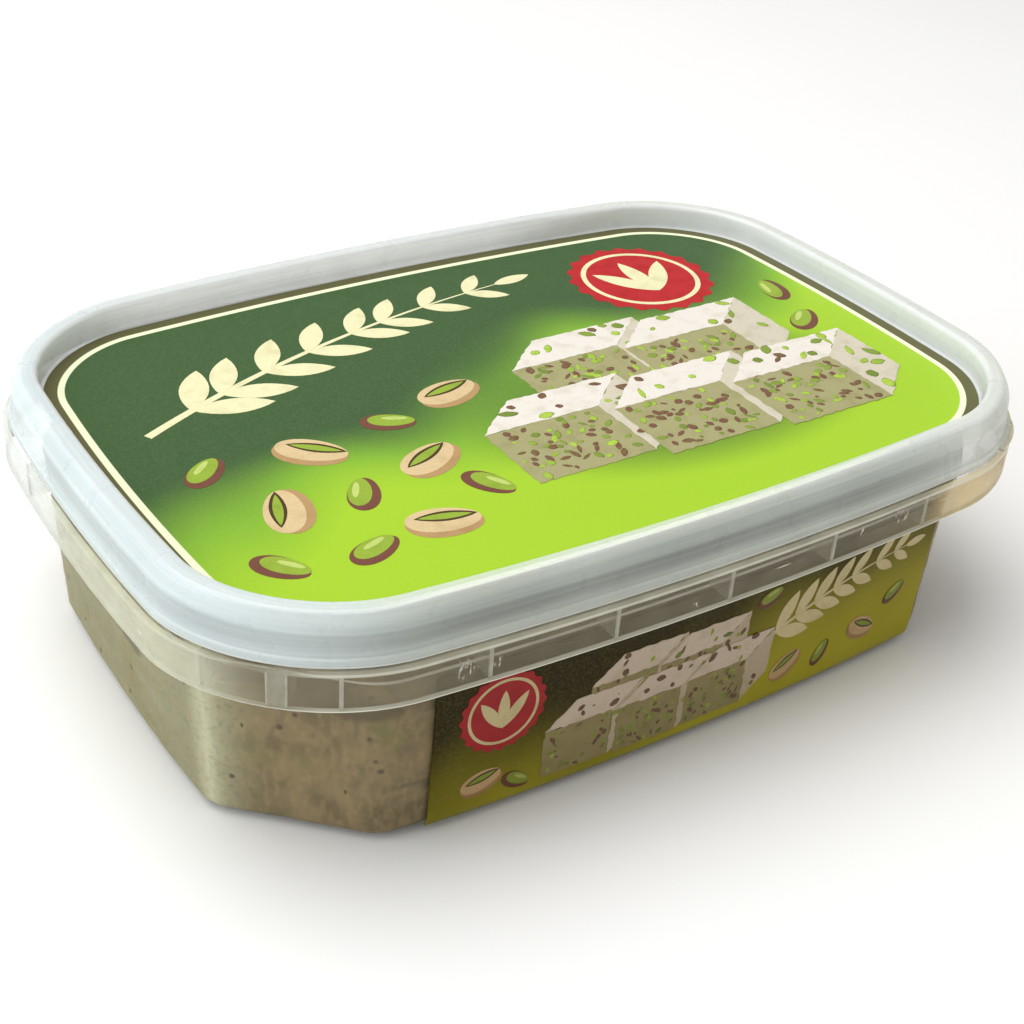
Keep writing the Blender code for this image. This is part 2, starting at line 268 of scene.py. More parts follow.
def cut_size(offset):
    """Radius of the edges beside the cut corner at this offset, and how far along a side it all reaches."""
    deeper = offset - FOOT_OFFSET
    leg = CUT_LEG + 2.0 * (1.0 - math.sqrt(0.5)) * deeper
    radius = CUT_ROUND + deeper
    return radius, leg + radius * math.tan(math.radians(22.5))


def corner_insets(offset, cut):
    """How far the points of one corner lie inside its two sides, from the first side to the second."""
    radius = CORNER_RADIUS + offset
    turns = [math.radians(90.0 * step / CORNER_STEPS) for step in range(CORNER_STEPS + 1)]
    round_ones = [Vector((radius - radius * math.cos(turn), radius - radius * math.sin(turn)))
                  for turn in turns]
    edge, reach = cut_size(offset)
    turns = [math.radians(45.0 * step / ARC_STEPS) for step in range(ARC_STEPS + 1)]
    first = [Vector((edge - edge * math.cos(turn), reach - edge * math.sin(turn))) for turn in turns]
    last = [inset.yx for inset in reversed(first)]
    flat_steps = CORNER_STEPS - 2 * ARC_STEPS
    flat = [first[-1].lerp(last[0], step / flat_steps) for step in range(1, flat_steps)]
    return [inset.lerp(cut_one, cut) for inset, cut_one in zip(round_ones, first + flat + last)]


def bowed(x, y, half_length, half_width):
    """Draws the corners in, which leaves the sides bowed outwards."""
    long_bow = LONG_SIDE_BOW * (half_length / HALF_LENGTH) ** 2
    short_bow = SHORT_SIDE_BOW * (half_width / HALF_WIDTH) ** 2
    return (x - short_bow * (y / half_width) ** 2 * (x / half_length),
            y - long_bow * (x / half_length) ** 2 * (y / half_width))


def corner_point(degrees, offset, height):
    """The point of the section that lies in this direction from its corner's centre."""
    half_length, half_width, radius = figure(offset, height)
    east, north = math.cos(math.radians(degrees)), math.sin(math.radians(degrees))
    x = math.copysign(half_length - radius, east) + radius * east
    y = math.copysign(half_width - radius, north) + radius * north
    return Vector((*bowed(x, y, half_length, half_width), height))


def section(offset, height, cut=0.0):
    """The closed section as points, anticlockwise seen from above."""
    half_length, half_width, _ = figure(offset, height)
    arc = [Vector((half_length - inset.x, half_width - inset.y)) for inset in corner_insets(offset, cut)]
    arcs = [arc, [Vector((-point.x, point.y)) for point in reversed(arc)],
            [-point for point in arc], [Vector((point.x, -point.y)) for point in reversed(arc)]]
    points = []
    for corner, arc in enumerate(arcs):
        points += arc
        here, there = arc[-1], arcs[(corner + 1) % 4][0]
        points += [here.lerp(there, step / SIDE_STEPS) for step in range(1, SIDE_STEPS)]
    return [Vector((*bowed(point.x, point.y, half_length, half_width), height)) for point in points]


def side_point(x, offset, height):
    """The point of the tub's front long side that is this far along it."""
    half_length, half_width, _ = figure(offset, height)
    edge, reach = cut_size(offset)
    past = max(0.0, abs(x) - (half_length - reach))
    y = edge - half_width - math.sqrt(edge ** 2 - past ** 2)
    return Vector((*bowed(x, y, half_length, half_width), height))


def arc_line(centre, radius, start, end, steps=8):
    """Points of an arc in the plane of offset and height, from one angle to another in degrees."""
    offset, height = centre
    angles = [math.radians(start + (end - start) * step / steps) for step in range(steps + 1)]
    return [(offset + radius * math.cos(angle), height + radius * math.sin(angle)) for angle in angles]


def wall_line(outset, top, lowest_angle=-90.0, rows=1):
    """The tub's outer wall moved outwards by outset, from its foot's round up to the height top.

    Each place is an offset, a height and the corners' cut there.
    """
    foot = arc_line((FOOT_OFFSET - FOOT_ROUND, FOOT_ROUND), FOOT_ROUND + outset, lowest_angle, 0.0)
    line = [(*place, 1.0) for place in foot]
    heights = [FOOT_ROUND + (top - FOOT_ROUND) * row / rows for row in range(1, rows + 1)]
    if top > CUT_HIGH:
        heights = sorted(heights + [CUT_HIGH])
    for height in heights:
        cut = min(1.0, max(0.0, (CUT_END - height) / (CUT_END - CUT_HIGH)))
        line.append((FOOT_OFFSET + outset + WALL_SLOPE * (height - FOOT_ROUND), height, cut))
    return line


def tub_line(wall):
    """Once round the tub's wall: up its outside, round flange, collar and rim, and down its inside."""
    flange_low = LEDGE - wall
    rim_inner, rim_outer = RIM_OFFSET - wall / 2, RIM_OFFSET + wall / 2
    line = wall_line(0.0, flange_low, rows=6)
    line += [(COLLAR_OFFSET - wall, flange_low)]
    line += arc_line((COLLAR_OFFSET - wall / 2, COLLAR_LOW + wall / 2), wall / 2, 180.0, 360.0, steps=10)
    line += arc_line((COLLAR_OFFSET - EDGE_ROUND, LEDGE - EDGE_ROUND), EDGE_ROUND, 0.0, 90.0, steps=5)
    line += arc_line((rim_outer + EDGE_ROUND, LEDGE + EDGE_ROUND), EDGE_ROUND, 270.0, 180.0, steps=4)
    line += arc_line((RIM_OFFSET, SHOULDER - RIM_BEAD_RADIUS), RIM_BEAD_RADIUS, -40.0, 220.0, steps=12)
    line += [(rim_inner, LEDGE + EDGE_ROUND)]
    line += reversed(wall_line(-wall, flange_low - EDGE_ROUND, rows=6))
    return line


def lid_line(wall):
    """The lid's wall: from the film's pocket over the crest to the skirt, and back along the inside."""
    pocket = LID_LABEL_BOX[0].z - POCKET_DEPTH
    recess_foot = (PANEL_OFFSET, PANEL + RECESS_FILLET)
    crest_inner = (CREST_INNER_OFFSET, CREST - CREST_INNER_RADIUS)
    crest_outer = (CREST_OFFSET, CREST - CREST_RADIUS)
    shoulder_middle = (SHOULDER_OFFSET - SHOULDER_RADIUS, SHOULDER)
    band_top = LID_LOW + BAND_HEIGHT
    line = [(PANEL_OFFSET, pocket)]
    line += arc_line(recess_foot, RECESS_FILLET, -90.0, -10.0, steps=6)
    line += [(PANEL_OFFSET + RECESS_FILLET + RECESS_DRAFT, PANEL + RECESS_STRAIGHT)]
    line += arc_line(crest_inner, CREST_INNER_RADIUS, 170.0, 90.0, steps=10)
    line += [((CREST_INNER_OFFSET + CREST_OFFSET) / 2, CREST)]
    line += arc_line(crest_outer, CREST_RADIUS, 90.0, 40.0)
    line += arc_line(shoulder_middle, SHOULDER_RADIUS, 40.0, 0.0, steps=6)
    line += [(-BAND_PROUD - EDGE_ROUND / 2, band_top + EDGE_ROUND / 3),
             (-BAND_PROUD, band_top),
             (-EDGE_ROUND / 3, band_top - EDGE_ROUND / 3)]
    line += arc_line((-EDGE_ROUND, LID_LOW + EDGE_ROUND), EDGE_ROUND, 0.0, -90.0, steps=5)
    inside = [(EDGE_ROUND - wall, LID_LOW),
              (-wall, LID_LOW + EDGE_ROUND),
              (-BAND_PROUD - wall, band_top),
              (SHOULDER_OFFSET - wall, SHOULDER - EDGE_ROUND)]
    inside += arc_line(crest_outer, CREST_RADIUS - wall, 40.0, 90.0, steps=3)
    inside += [(CREST_INNER_OFFSET, CREST - wall)]
    inside += arc_line(recess_foot, RECESS_FILLET + wall, -10.0, -60.0, steps=4)
    inside += [(PANEL_OFFSET + EDGE_ROUND, pocket - wall)]
    return line, inside


# Mesh building

def placed(name, data):
    """A new object in the scene, at the origin."""
    item = bpy.data.objects.new(name, data)
    bpy.context.scene.collection.objects.link(item)
    return item


def as_mesh(name, body):
    """The mesh that a bmesh holds. The bmesh is then freed."""
    mesh = bpy.data.meshes.new(name)
    body.to_mesh(mesh)
    body.free()
    return mesh


def finished(name, body, material):
    """A finished mesh object from a bmesh whose faces point outwards."""
    mesh = as_mesh(name, body)
    mesh.materials.append(material)
    mesh.shade_smooth()
    mesh.set_sharp_from_angle(angle=SHARP_ANGLE)
    return placed(name, mesh)


def band(body, ring, following):
    """The faces between two rings of points."""
    faces = []
    for here in range(len(ring)):
        ahead = (here + 1) % len(ring)
        faces.append(body.faces.new((ring[here], ring[ahead], following[ahead], following[here])))
    return faces


def add_loops(body, loops, inner_rings=0):
    """Joins closed loops of equal counts, and fills both ends, by rings if inner_rings is given."""
    grain = body.loops.layers.uv.get("grain") or body.loops.layers.uv.new("grain")
    rows = [[body.verts.new(point) for point in loop] for loop in loops]
    around = 2.0 * math.pi * (HALF_LENGTH + HALF_WIDTH) / 2 / len(rows[0])
    travelled = 0.0
    for row, following in zip(rows, rows[1:]):
        step = (following[0].co - row[0].co).length
        for here, face in enumerate(band(body, row, following)):
            places = ((here, 0.0), (here + 1, 0.0), (here + 1, step), (here, step))
            for corner, (place, rise) in zip(face.loops, places):
                corner[grain].uv = (place * around, travelled + rise)
        travelled += step
    for end in (rows[0], rows[-1]):
        fill_end(body, end, inner_rings)
    bmesh.ops.recalc_face_normals(body, faces=body.faces)


def fill_end(body, ring, inner_rings):
    """Fills a ring with one face, or with smaller and smaller rings round a middle point."""
    if not inner_rings:
        body.faces.new(ring)
        return
    middle = sum((vert.co for vert in ring), Vector()) / len(ring)
    outer = ring
    for step in range(1, inner_rings):
        inner = [body.verts.new(vert.co.lerp(middle, step / inner_rings)) for vert in ring]
        band(body, outer, inner)
        outer = inner
    centre = body.verts.new(middle)
    for here in range(len(ring)):
        body.faces.new((outer[here], outer[(here + 1) % len(ring)], centre))


def store(body, name, values):
    """Stores one value on each point, in the order in which the points were made."""
    layer = body.verts.layers.float.new(name)
    for vert, value in zip(body.verts, values):
        vert[layer] = value


def shell(name, line, material, inside=()):
    """A round-walled piece from its cross-section: up the outside, and then back along the inside.

    Each point stores its offset, and whether it belongs to the inside.
    """
    body = bmesh.new()
    places = [*line, *inside]
    add_loops(body, [section(*place) for place in places])
    store(body, "outset", [place[0] for place in places for _ in range(SECTION_POINTS)])
    store(body, "inner", [0.0] * len(line) * SECTION_POINTS + [1.0] * len(inside) * SECTION_POINTS)
    return finished(name, body, material)


def plain_object(name, points, edges=(), faces=()):
    mesh = bpy.data.meshes.new(name)
    mesh.from_pydata(points, edges, faces)
    return placed(name, mesh)


def discard(item):
    mesh = item.data
    bpy.data.objects.remove(item, do_unlink=True)
    bpy.data.meshes.remove(mesh)


def attach(piece, slot, *nodes):
    """The piece rides on the tub and stands for these solids. The slot is not used."""
    if nodes:
        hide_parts(*nodes)
    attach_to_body(piece, "root")


# Node trees

def new_node(tree, kind, inputs, settings):
    """Adds a node with its settings and inputs to a tree."""
    made = tree.nodes.new(kind)
    for key, value in settings.items():
        setattr(made, key, value)
    fill_inputs(tree, made, inputs)
    return made


def fill_inputs(tree, made, inputs):
    """Links the inputs whose value is a field or a socket, and sets the others."""
    for key, value in inputs.items():
        source = value.socket if isinstance(value, Field) else value
        if isinstance(source, bpy.types.NodeSocket):
            tree.links.new(source, made.inputs[key])
        else:
            made.inputs[key].default_value = source


class PieceTree:
    """A geometry tree that copies pieces onto its geometry, with its named inputs."""

    def __init__(self, name, **inputs):
        self.tree = bpy.data.node_groups.new(name, "GeometryNodeTree")
        named = [(label.replace("_", " "), kind) for label, kind in inputs.items()]
        for label, kind in [("Geometry", "Geometry")] + named:
            self.tree.interface.new_socket(label, in_out="INPUT", socket_type="NodeSocket" + kind)
        self.tree.interface.new_socket("Geometry", in_out="OUTPUT", socket_type="NodeSocketGeometry")
        self.given = self.tree.nodes.new("NodeGroupInput").outputs
        self.result = self.tree.nodes.new("NodeGroupOutput")

    def add(self, kind, inputs, **settings):
        """Adds a node, and returns its outputs."""
        return new_node(self.tree, kind, inputs, settings).outputs

    def shape(self, label):
        """The shape of the object that is given in this input."""
        return self.add("GeometryNodeObjectInfo", {"Object": self.given[label]})["Geometry"]

    def copies(self, points, piece, turn, **sizes):
        inputs = {"Points": points, "Instance": piece, "Rotation": turn, **sizes}
        return self.add("GeometryNodeInstanceOnPoints", inputs)[0]

    def close(self, geometry):
        """Turns the copies into one painted mesh, which is what the tree gives."""
        realised = self.add("GeometryNodeRealizeInstances", {"Geometry": geometry})
        painted = self.add("GeometryNodeSetMaterial", {
            "Geometry": realised[0], "Material": self.given["Material"]})
        self.tree.links.new(painted[0], self.result.inputs[0])
        return self.tree


def run_tree(name, carrier, tree, values):
    """The plain mesh that a geometry tree makes on this carrier, which is then removed."""
    modifier = carrier.modifiers.new(tree.name, "NODES")
    modifier.node_group = tree
    sockets = {item.name: item.identifier for item in tree.interface.items_tree if item.in_out == "INPUT"}
    for label, value in values.items():
        modifier[sockets[label]] = value
    depsgraph = bpy.context.evaluated_depsgraph_get()
    mesh = bpy.data.meshes.new_from_object(carrier.evaluated_get(depsgraph), depsgraph=depsgraph)
    carrier.modifiers.remove(modifier)
    discard(carrier)
    mesh.name = name
    return placed(name, mesh)


class Field:
    """A value or colour that varies over a finish: one output of a node, with what is made from it."""

    def __init__(self, look, socket):
        self.look, self.socket = look, socket

    def __add__(self, other):
        return self.look.math("ADD", self, other)

    def __mul__(self, other):
        return self.look.math("MULTIPLY", self, other)

    def size(self):
        """This value without its sign."""
        return self.look.math("ABSOLUTE", self)

    def remap(self, low, high, first=0.0, last=1.0):
        """Runs softly from first to last while this value runs from low to high."""
        inputs = {"Value": self, "From Min": low, "From Max": high, "To Min": first, "To Max": last}
        return self.look.add("MapRange", inputs, interpolation_type="SMOOTHSTEP")

    def vary(self, first, last):
        """Runs from first to last over the usual range of a cloud."""
        return self.remap(0.3, 0.7, first, last)

    def vary_round(self, middle, share):
        """The same, by this share of a value to both sides of it."""
        return self.vary(middle * (1.0 - share), middle * (1.0 + share))


class Finish:
    """One material's nodes."""

    def __init__(self, name, **constants):
        self.material = bpy.data.materials.new(name)
        self.material.use_nodes = True
        self.tree = self.material.node_tree
        self.set_shader(constants)
        self.coordinates = self.tree.nodes.new("ShaderNodeTexCoord").outputs

    def set_shader(self, inputs):
        named = {key.replace("_", " "): value for key, value in inputs.items()}
        fill_inputs(self.tree, self.tree.nodes["Principled BSDF"], named)

    def add(self, kind, inputs, output=0, **settings):
        """Adds a node, and returns one of its outputs as a field."""
        return Field(self, new_node(self.tree, "ShaderNode" + kind, inputs, settings).outputs[output])

    def math(self, operation, *values):
        return self.add("Math", dict(enumerate(values)), operation=operation)

    def most(self, first, second):
        return self.math("MAXIMUM", first, second)

    def axis(self, label, source="Object"):
        return self.add("SeparateXYZ", {"Vector": self.coordinates[source]}, label)

    def stored(self, name, output="Fac"):
        """What the mesh stores under this name."""
        return self.add("Attribute", {}, output, attribute_name=name)

    def place(self, size, stretch, source):
        """Coordinates in which a pattern of scale 1 has features of this size in metres."""
        scale = tuple(1.0 / (size * part) for part in stretch)
        return self.add("Mapping", {"Vector": self.coordinates[source], "Scale": scale})

    def cloud(self, size, stretch=EVEN, detail=3.0, source="Object"):
        vector = self.place(size, stretch, source)
        return self.add("TexNoise", {"Vector": vector, "Scale": 1.0, "Detail": detail})

    def spots(self, size):
        vector = self.place(size, EVEN, "Object")
        return self.add("TexVoronoi", {"Vector": vector, "Scale": 1.0}, "Distance")

    def mix(self, share, first, second, **settings):
        """Two colours mixed by the second one's share."""
        inputs = {0: share}
        for key, colour in ((6, first), (7, second)):
            inputs[key] = colour if isinstance(colour, Field) else (*colour, 1.0)
        return self.add("Mix", inputs, 2, data_type="RGBA", **settings)

    def coats(self, colour, *coats):
        """A colour with coats over it, each given as its share and its colour."""
        for share, coat in coats:
            colour = self.mix(share, colour, coat)
        return colour

    def bump(self, height, depth, strength=0.6):
        return self.add("Bump", {"Height": height, "Distance": depth, "Strength": strength})

    def finish(self, colour, rough, **links):
        self.set_shader({"Base_Color": colour, "Roughness": rough, **links})
        return self.material


# Finishes

# Colours that lie over a finish's main ones, as linear light
CLEAR_FRONT_SHADE = (0.68, 0.67, 0.46)       # painted warm shade over the clear plastic towards the front
CLEAR_SCRATCH_AND_HIGHLIGHT = (0.86, 0.86, 0.74)     # its scratches, and painted highlights along the collar's lower edge and the ledge
WEB_DEEP = (0.62, 0.60, 0.48)
# painted highlight where a web meets the collar
WEB_EDGE_HIGHLIGHT = (0.84, 0.83, 0.70)
# painted light on the lid's short ends: cool at the left end, warmer at the right
LID_LEFT_LIGHT_TINT = (0.69, 0.82, 0.84)
LID_RIGHT_LIGHT_TINT = (0.84, 0.88, 0.76)
LID_TAB = (0.92, 0.78, 0.46)
LID_CLOUDS = (0.60, 0.68, 0.58)
# painted light: the recess's wall, lit through the milky crest from behind
LID_RECESS_LIGHT = (0.95, 1.0, 1.0)
LID_FLOW = (0.92, 0.96, 0.93)
# painted highlight along the lid's lower edge
LID_EDGE_HIGHLIGHT = (0.95, 0.96, 0.90)
# painted cool light: the halva lighter and greener at the short ends
HALVA_ENDS_LIGHT = (0.31, 0.32, 0.18)
HALVA_GREEN = (0.22, 0.20, 0.055)
HALVA_UPRIGHT_HIGHLIGHT = (0.58, 0.57, 0.38)    # painted highlights: the bright lines beside the cut corners, where the tub's round upright edges catch the light
HALVA_SPECKS = (0.075, 0.045, 0.025)
NUT_SKIN_IN_HALVA = (0.10, 0.06, 0.035)
LID_FIELD_MIDDLE = srgb(128, 178, 52)
LID_FIELD_SHADE = srgb(84, 120, 50)
LID_SCREEN = srgb(235, 245, 160)      # the fine grain of each print
SIDE_SCREEN = srgb(170, 170, 90)
INK_STAIN = (0.72, 0.70, 0.60)


def shaded(colour, share):
    """A colour made darker or lighter."""
    return tuple(value * share for value in colour)


def clear_plastic(settings):
    """Clear moulded plastic with a little haze, more of it in the collar, and scuffs, with painted light
    and shade: warm shade at the front, dark brown on the collar's long sides, paler short ends, warm
    back-light at the right end, and highlights along the collar's edges.
    """
    look = Finish("clear tub plastic", IOR=1.49)
    along, across, height = look.axis("X"), look.axis("Y"), look.axis("Z")
    away = along.size()
    collar = look.stored("outset").remap(0.0, 0.15 * MM)
    # painted warm back-light on the collar's right end, in its colour and in denser haze
    warm = along.remap(33.0 * MM, 44.0 * MM) * collar
    # painted highlights: bright lines along the collar's lower edge and along the ledge
    low_edge_highlight = height.remap(COLLAR_LOW + 0.45 * MM, COLLAR_LOW + 0.25 * MM)
    low_edge_highlight *= height.remap(COLLAR_LOW - 0.3 * MM, COLLAR_LOW - 0.1 * MM)
    low_edge_highlight *= away.remap(54.0 * MM, 66.0 * MM, 1.0, 0.5)
    ledge = height.remap(LEDGE - 0.5 * MM, LEDGE - 0.25 * MM)
    ledge *= height.remap(LEDGE - 0.02 * MM, LEDGE - 0.08 * MM, 0.55, 1.0)
    ledge *= height.remap(LEDGE + 0.3 * MM, LEDGE + 0.05 * MM)
    ledge *= away.remap(54.0 * MM, 64.0 * MM, 0.8, 0.15)
    fine_scuffs = look.cloud(2.2 * MM, (3.0, 0.35, 1.0), source="UV").remap(0.69, 0.74)
    scuffs = look.most(fine_scuffs, scratches(look)) * collar
    # real scuffs and scratches, together with the painted highlights along the edges
    bright = look.most(look.most(low_edge_highlight, ledge), scuffs * 0.8)
    colour = look.coats(settings.colour,
                        # painted warm shade towards the front
                        (across.remap(14.0 * MM, -8.0 * MM) * 0.8, CLEAR_FRONT_SHADE),
                        # painted shade: dark brown over the collar's long sides
                        (collar * away.remap(69.0 * MM, 61.0 * MM), settings.collar_shade_colour),
                        (warm, settings.warm_light_colour),
                        (bright, CLEAR_SCRATCH_AND_HIGHLIGHT))
    alpha = look.cloud(14.0 * MM).vary_round(settings.haze, 0.25)
    alpha += collar * look.cloud(5.0 * MM, (1.0, 1.0, 0.6)).vary_round(settings.collar_haze, 0.25)
    # painted light: paler, denser haze on the collar's short ends
    alpha += away.remap(63.0 * MM, 70.0 * MM) * collar * settings.end_painted_light
    alpha += warm * 0.32
    alpha += bright * 0.6
    flow = look.cloud(6.0 * MM, (6.0, 0.5, 1.0), source="UV")
    return look.finish(colour, flow.vary(0.16, 0.30), Alpha=alpha, Normal=look.bump(flow, 0.08 * MM))


def scratches(look):
    """The few larger scratched places on the front of the collar."""
    ragged = look.cloud(0.8 * MM, (0.6, 1.0, 1.6), detail=6.0).remap(0.50, 0.60)
    marks = 0.0
    for size, *place in COLLAR_SCUFFS:
        ends = {0: look.coordinates["Object"], 1: place}
        away = look.add("VectorMath", ends, "Value", operation="DISTANCE")
        marks = look.most(marks, away.remap(size, size * 0.3) * ragged)
    return marks


def web_plastic():
    """The same plastic seen through the depth of a web: pale and dense, as a painted highlight, where the
    web meets the collar.
    """
    look = Finish("clear web plastic", IOR=1.49)
    # share of the painted highlight where the web meets the collar
    outer = look.stored("outer").remap(0.89, 0.98)
    grain = look.cloud(1.5 * MM)
    colour = look.mix(outer, WEB_DEEP, WEB_EDGE_HIGHLIGHT)
    return look.finish(colour, grain.vary(0.2, 0.35), Alpha=grain.vary(0.16, 0.26) + outer * 0.5)


def milky_plastic(settings):
    """Milky plastic that light soaks into, clearer below the shoulder, with fine flow lines round it, and
    painted light: a paler crest, a whitened recess, tinted ends and a bright lower edge.
    """
    look = Finish("milky lid plastic", IOR=1.49, Subsurface_Weight=0.5, Subsurface_Scale=0.004,
                  Subsurface_Radius=(1.0, 1.0, 0.9))
    along, height, outset = look.axis("X"), look.axis("Z"), look.stored("outset")
    flow = look.cloud(1.0 * MM, (30.0, 0.5, 1.0), detail=2.0, source="UV")
    cloud = look.cloud(18.0 * MM)
    skirt = outset.remap(-2.6 * MM, -1.0 * MM)
    tab = outset.remap(0.05 * MM, 0.4 * MM)
    # painted light: the recess's wall is whitened and made clearer
    recess = outset.remap(CREST_INNER_OFFSET, CREST_INNER_OFFSET - 0.6 * MM)
    # painted highlight along the skirt's lower edge
    low_edge_highlight = height.remap(LID_LOW + 0.5 * MM, LID_LOW + 0.25 * MM)
    thin = height.remap(SHOULDER, SHOULDER - 0.4 * MM) * skirt
    thin *= height.remap(PANEL - 1.2 * MM, PANEL + 0.2 * MM)
    # painted light on the lid's short ends: a cool tint at the left end, a warmer one at the right, and
    # denser milk
    ends = look.most(along.size(), along + 14.0 * MM).remap(36.0 * MM, 62.0 * MM)
    end_light_tint = look.mix(along.remap(0.0, 50.0 * MM), LID_LEFT_LIGHT_TINT, LID_RIGHT_LIGHT_TINT)
    colour = look.coats(look.mix(skirt, settings.crest_colour, settings.colour),
                        (ends * 0.75, end_light_tint),
                        (tab * 0.85, LID_TAB),
                        (cloud.remap(0.35, 0.65, 0.0, 0.10), LID_CLOUDS),
                        (recess * 0.9, LID_RECESS_LIGHT),
                        (flow.remap(0.45, 0.7) * 0.15, LID_FLOW),
                        (low_edge_highlight * 0.7, LID_EDGE_HIGHLIGHT))
    alpha = flow.vary(settings.milk - 0.025, settings.milk + 0.025) + cloud.vary(-0.04, 0.04)
    alpha += thin * -0.15
    alpha += recess * ends.remap(0.0, 1.0, -0.22, -0.02)
    alpha += ends * 0.32
    alpha += tab * -0.25
    alpha += low_edge_highlight * 0.25
    alpha *= look.stored("inner").remap(0.0, 1.0, 1.0, 0.08)
    normal = look.bump(flow + look.cloud(9.0 * MM), 0.05 * MM, 0.5)
    return look.finish(colour, look.cloud(4.0 * MM).vary(0.26, 0.36), Alpha=alpha, Normal=normal)


def halva_paste(settings):
    """Dry sesame paste, cloudy with oil, with fine brown specks, and painted light and shade: lighter and
    greener at the short ends, highlights beside the cut corners, darker at the foot.
    """
    look = Finish("halva paste", IOR=1.45)
    paste, oily = settings.paste, settings.oily
    damp = tuple((dry + wet) / 2 for dry, wet in zip(paste, oily))
    height = look.axis("Z")
    patches = look.cloud(16.0 * MM, detail=5.0).remap(0.38, 0.62)
    crumbs = look.cloud(4.0 * MM, detail=5.0)
    # painted light: lighter and greener at the short ends
    ends = look.axis("X").size().remap(56.0 * MM, 66.0 * MM, 0.0, 0.7)
    green = look.cloud(11.0 * MM, (1.0, 1.0, 0.7), detail=4.0)
    fibres = look.cloud(1.5 * MM, (0.7, 0.7, 1.6), detail=6.0)
    smears = look.cloud(9.0 * MM, (2.2, 2.2, 0.7), detail=5.0)
    high_smears = smears + height.remap(16.0 * MM, 25.0 * MM, 0.0, 0.14)
    specks = look.spots(4.5 * MM).remap(0.13, 0.07)
    grain = look.cloud(0.8 * MM, detail=4.0)
    colour = look.coats(look.mix(patches, shaded(paste, 1.18), damp),
                        (crumbs.remap(0.5, 0.68, 0.0, 0.5), oily),
                        (crumbs.remap(0.5, 0.36, 0.0, 0.35), shaded(paste, 1.6)),
                        (ends, HALVA_ENDS_LIGHT),
                        (green.remap(0.53, 0.66, 0.0, 0.5), HALVA_GREEN),
                        (fibres.remap(0.44, 0.62, 0.0, 0.4), shaded(paste, 1.7)),
                        (high_smears.remap(0.60, 0.70, 0.0, 0.8), shaded(oily, 0.75)),
                        # painted highlights beside the cut corners
                        (look.stored("upright") * 0.95, HALVA_UPRIGHT_HIGHLIGHT),
                        (specks * 0.8, HALVA_SPECKS),
                        (grain.remap(0.45, 0.8, 0.0, 0.35), oily),
                        # painted shade: darker towards the foot, a contact shadow along the bottom
                        (height.remap(1.6 * MM, 0.3 * MM, 0.0, 0.7), shaded(oily, 0.6)))
    return look.finish(colour, smears.remap(0.4, 0.7, 0.72, 0.5), Normal=look.bump(grain, 0.15 * MM))


def nut_flesh(name, green, skin, skin_share):
    """Cut pistachio: green flesh, and for this share of the pieces their purple-brown skin."""
    look = Finish(name, IOR=1.45)
    tone, grain = look.stored("tone"), look.cloud(0.5 * MM)
    flesh = look.mix(tone.remap(0.0, 1.0 - skin_share), shaded(green, 0.55), shaded(green, 1.4))
    colour = look.coats(flesh,
                        (tone.remap(0.99 - skin_share, 1.01 - skin_share), skin),
                        (grain.remap(0.4, 0.7, 0.0, 0.4), shaded(green, 0.6)))
    return look.finish(colour, grain.vary(0.5, 0.7), Normal=look.bump(grain, 0.05 * MM))


def lid_film(settings):
    """The lid's print: olive border, cream line, and a field that runs from dark green to lime."""
    look = Finish("lid print", IOR=1.5, Specular_IOR_Level=0.2)
    along, across, inset = look.axis("X"), look.axis("Y"), look.stored("inset")
    wave = look.math("SINE", along * 95.0 + across * 60.0)
    run = along * 0.3 + across * -1.0 + wave * (4.0 * MM)
    run += look.cloud(40.0 * MM, detail=1.0).vary(-5.0 * MM, 5.0 * MM)
    ramp = look.add("ValToRGB", {"Fac": run.remap(-14.0 * MM, 16.0 * MM)})
    stops = ramp.socket.node.color_ramp.elements
    stops[0].color = (*settings.far_colour, 1.0)
    stops[1].color = (*settings.near_colour, 1.0)
    stops[1].position = 0.9
    stops.new(0.5).color = (*LID_FIELD_MIDDLE, 1.0)
    shade_x = (along + -18.0 * MM) * (1.0 / (38.0 * MM))
    shade_y = (across + 12.0 * MM) * (1.0 / (22.0 * MM))
    shade = (shade_x * shade_x + shade_y * shade_y).remap(1.0, 0.25, 0.0, 0.8)
    screen = look.cloud(0.35 * MM, detail=2.0)
    field = look.coats(ramp, (shade, LID_FIELD_SHADE), (screen.remap(0.4, 0.7, 0.0, 0.03), LID_SCREEN))
    line_start, line_end = settings.border, settings.border + settings.line
    soft = 0.06 * MM
    olive = look.mix(screen, shaded(settings.border_colour, 0.9), shaded(settings.border_colour, 1.1))
    lined = look.mix(inset.remap(line_end - soft, line_end + soft), settings.line_colour, field)
    framed = look.mix(inset.remap(line_start - soft, line_start + soft), olive, lined)
    rough = look.cloud(7.0 * MM).vary(0.36, 0.46)
    return look.finish(framed, rough, Normal=look.bump(screen, 0.01 * MM, 0.3))


def side_film(settings):
    """The side print: dark olive above and at one end, lighter olive below and at the other; the olives are
    darkened as painted shade, and the lightening below is painted floor light.
    """
    look = Finish("side print", IOR=1.5, Specular_IOR_Level=0.08)
    run = look.axis("X", "UV") * 0.16 + look.axis("Y", "UV") * -1.0
    run += look.cloud(22.0 * MM, detail=1.0).vary(-3.0 * MM, 3.0 * MM)
    screen = look.cloud(0.35 * MM, detail=2.0)
    colour = look.coats(settings.side_dark,
                        (run.remap(-24.0 * MM, 1.0 * MM), settings.side_light),
                        (screen.remap(0.4, 0.7, 0.0, 0.06), SIDE_SCREEN))
    rough = look.cloud(7.0 * MM).vary(0.34, 0.46)
    return look.finish(colour, rough, Normal=look.bump(screen, 0.01 * MM, 0.3))


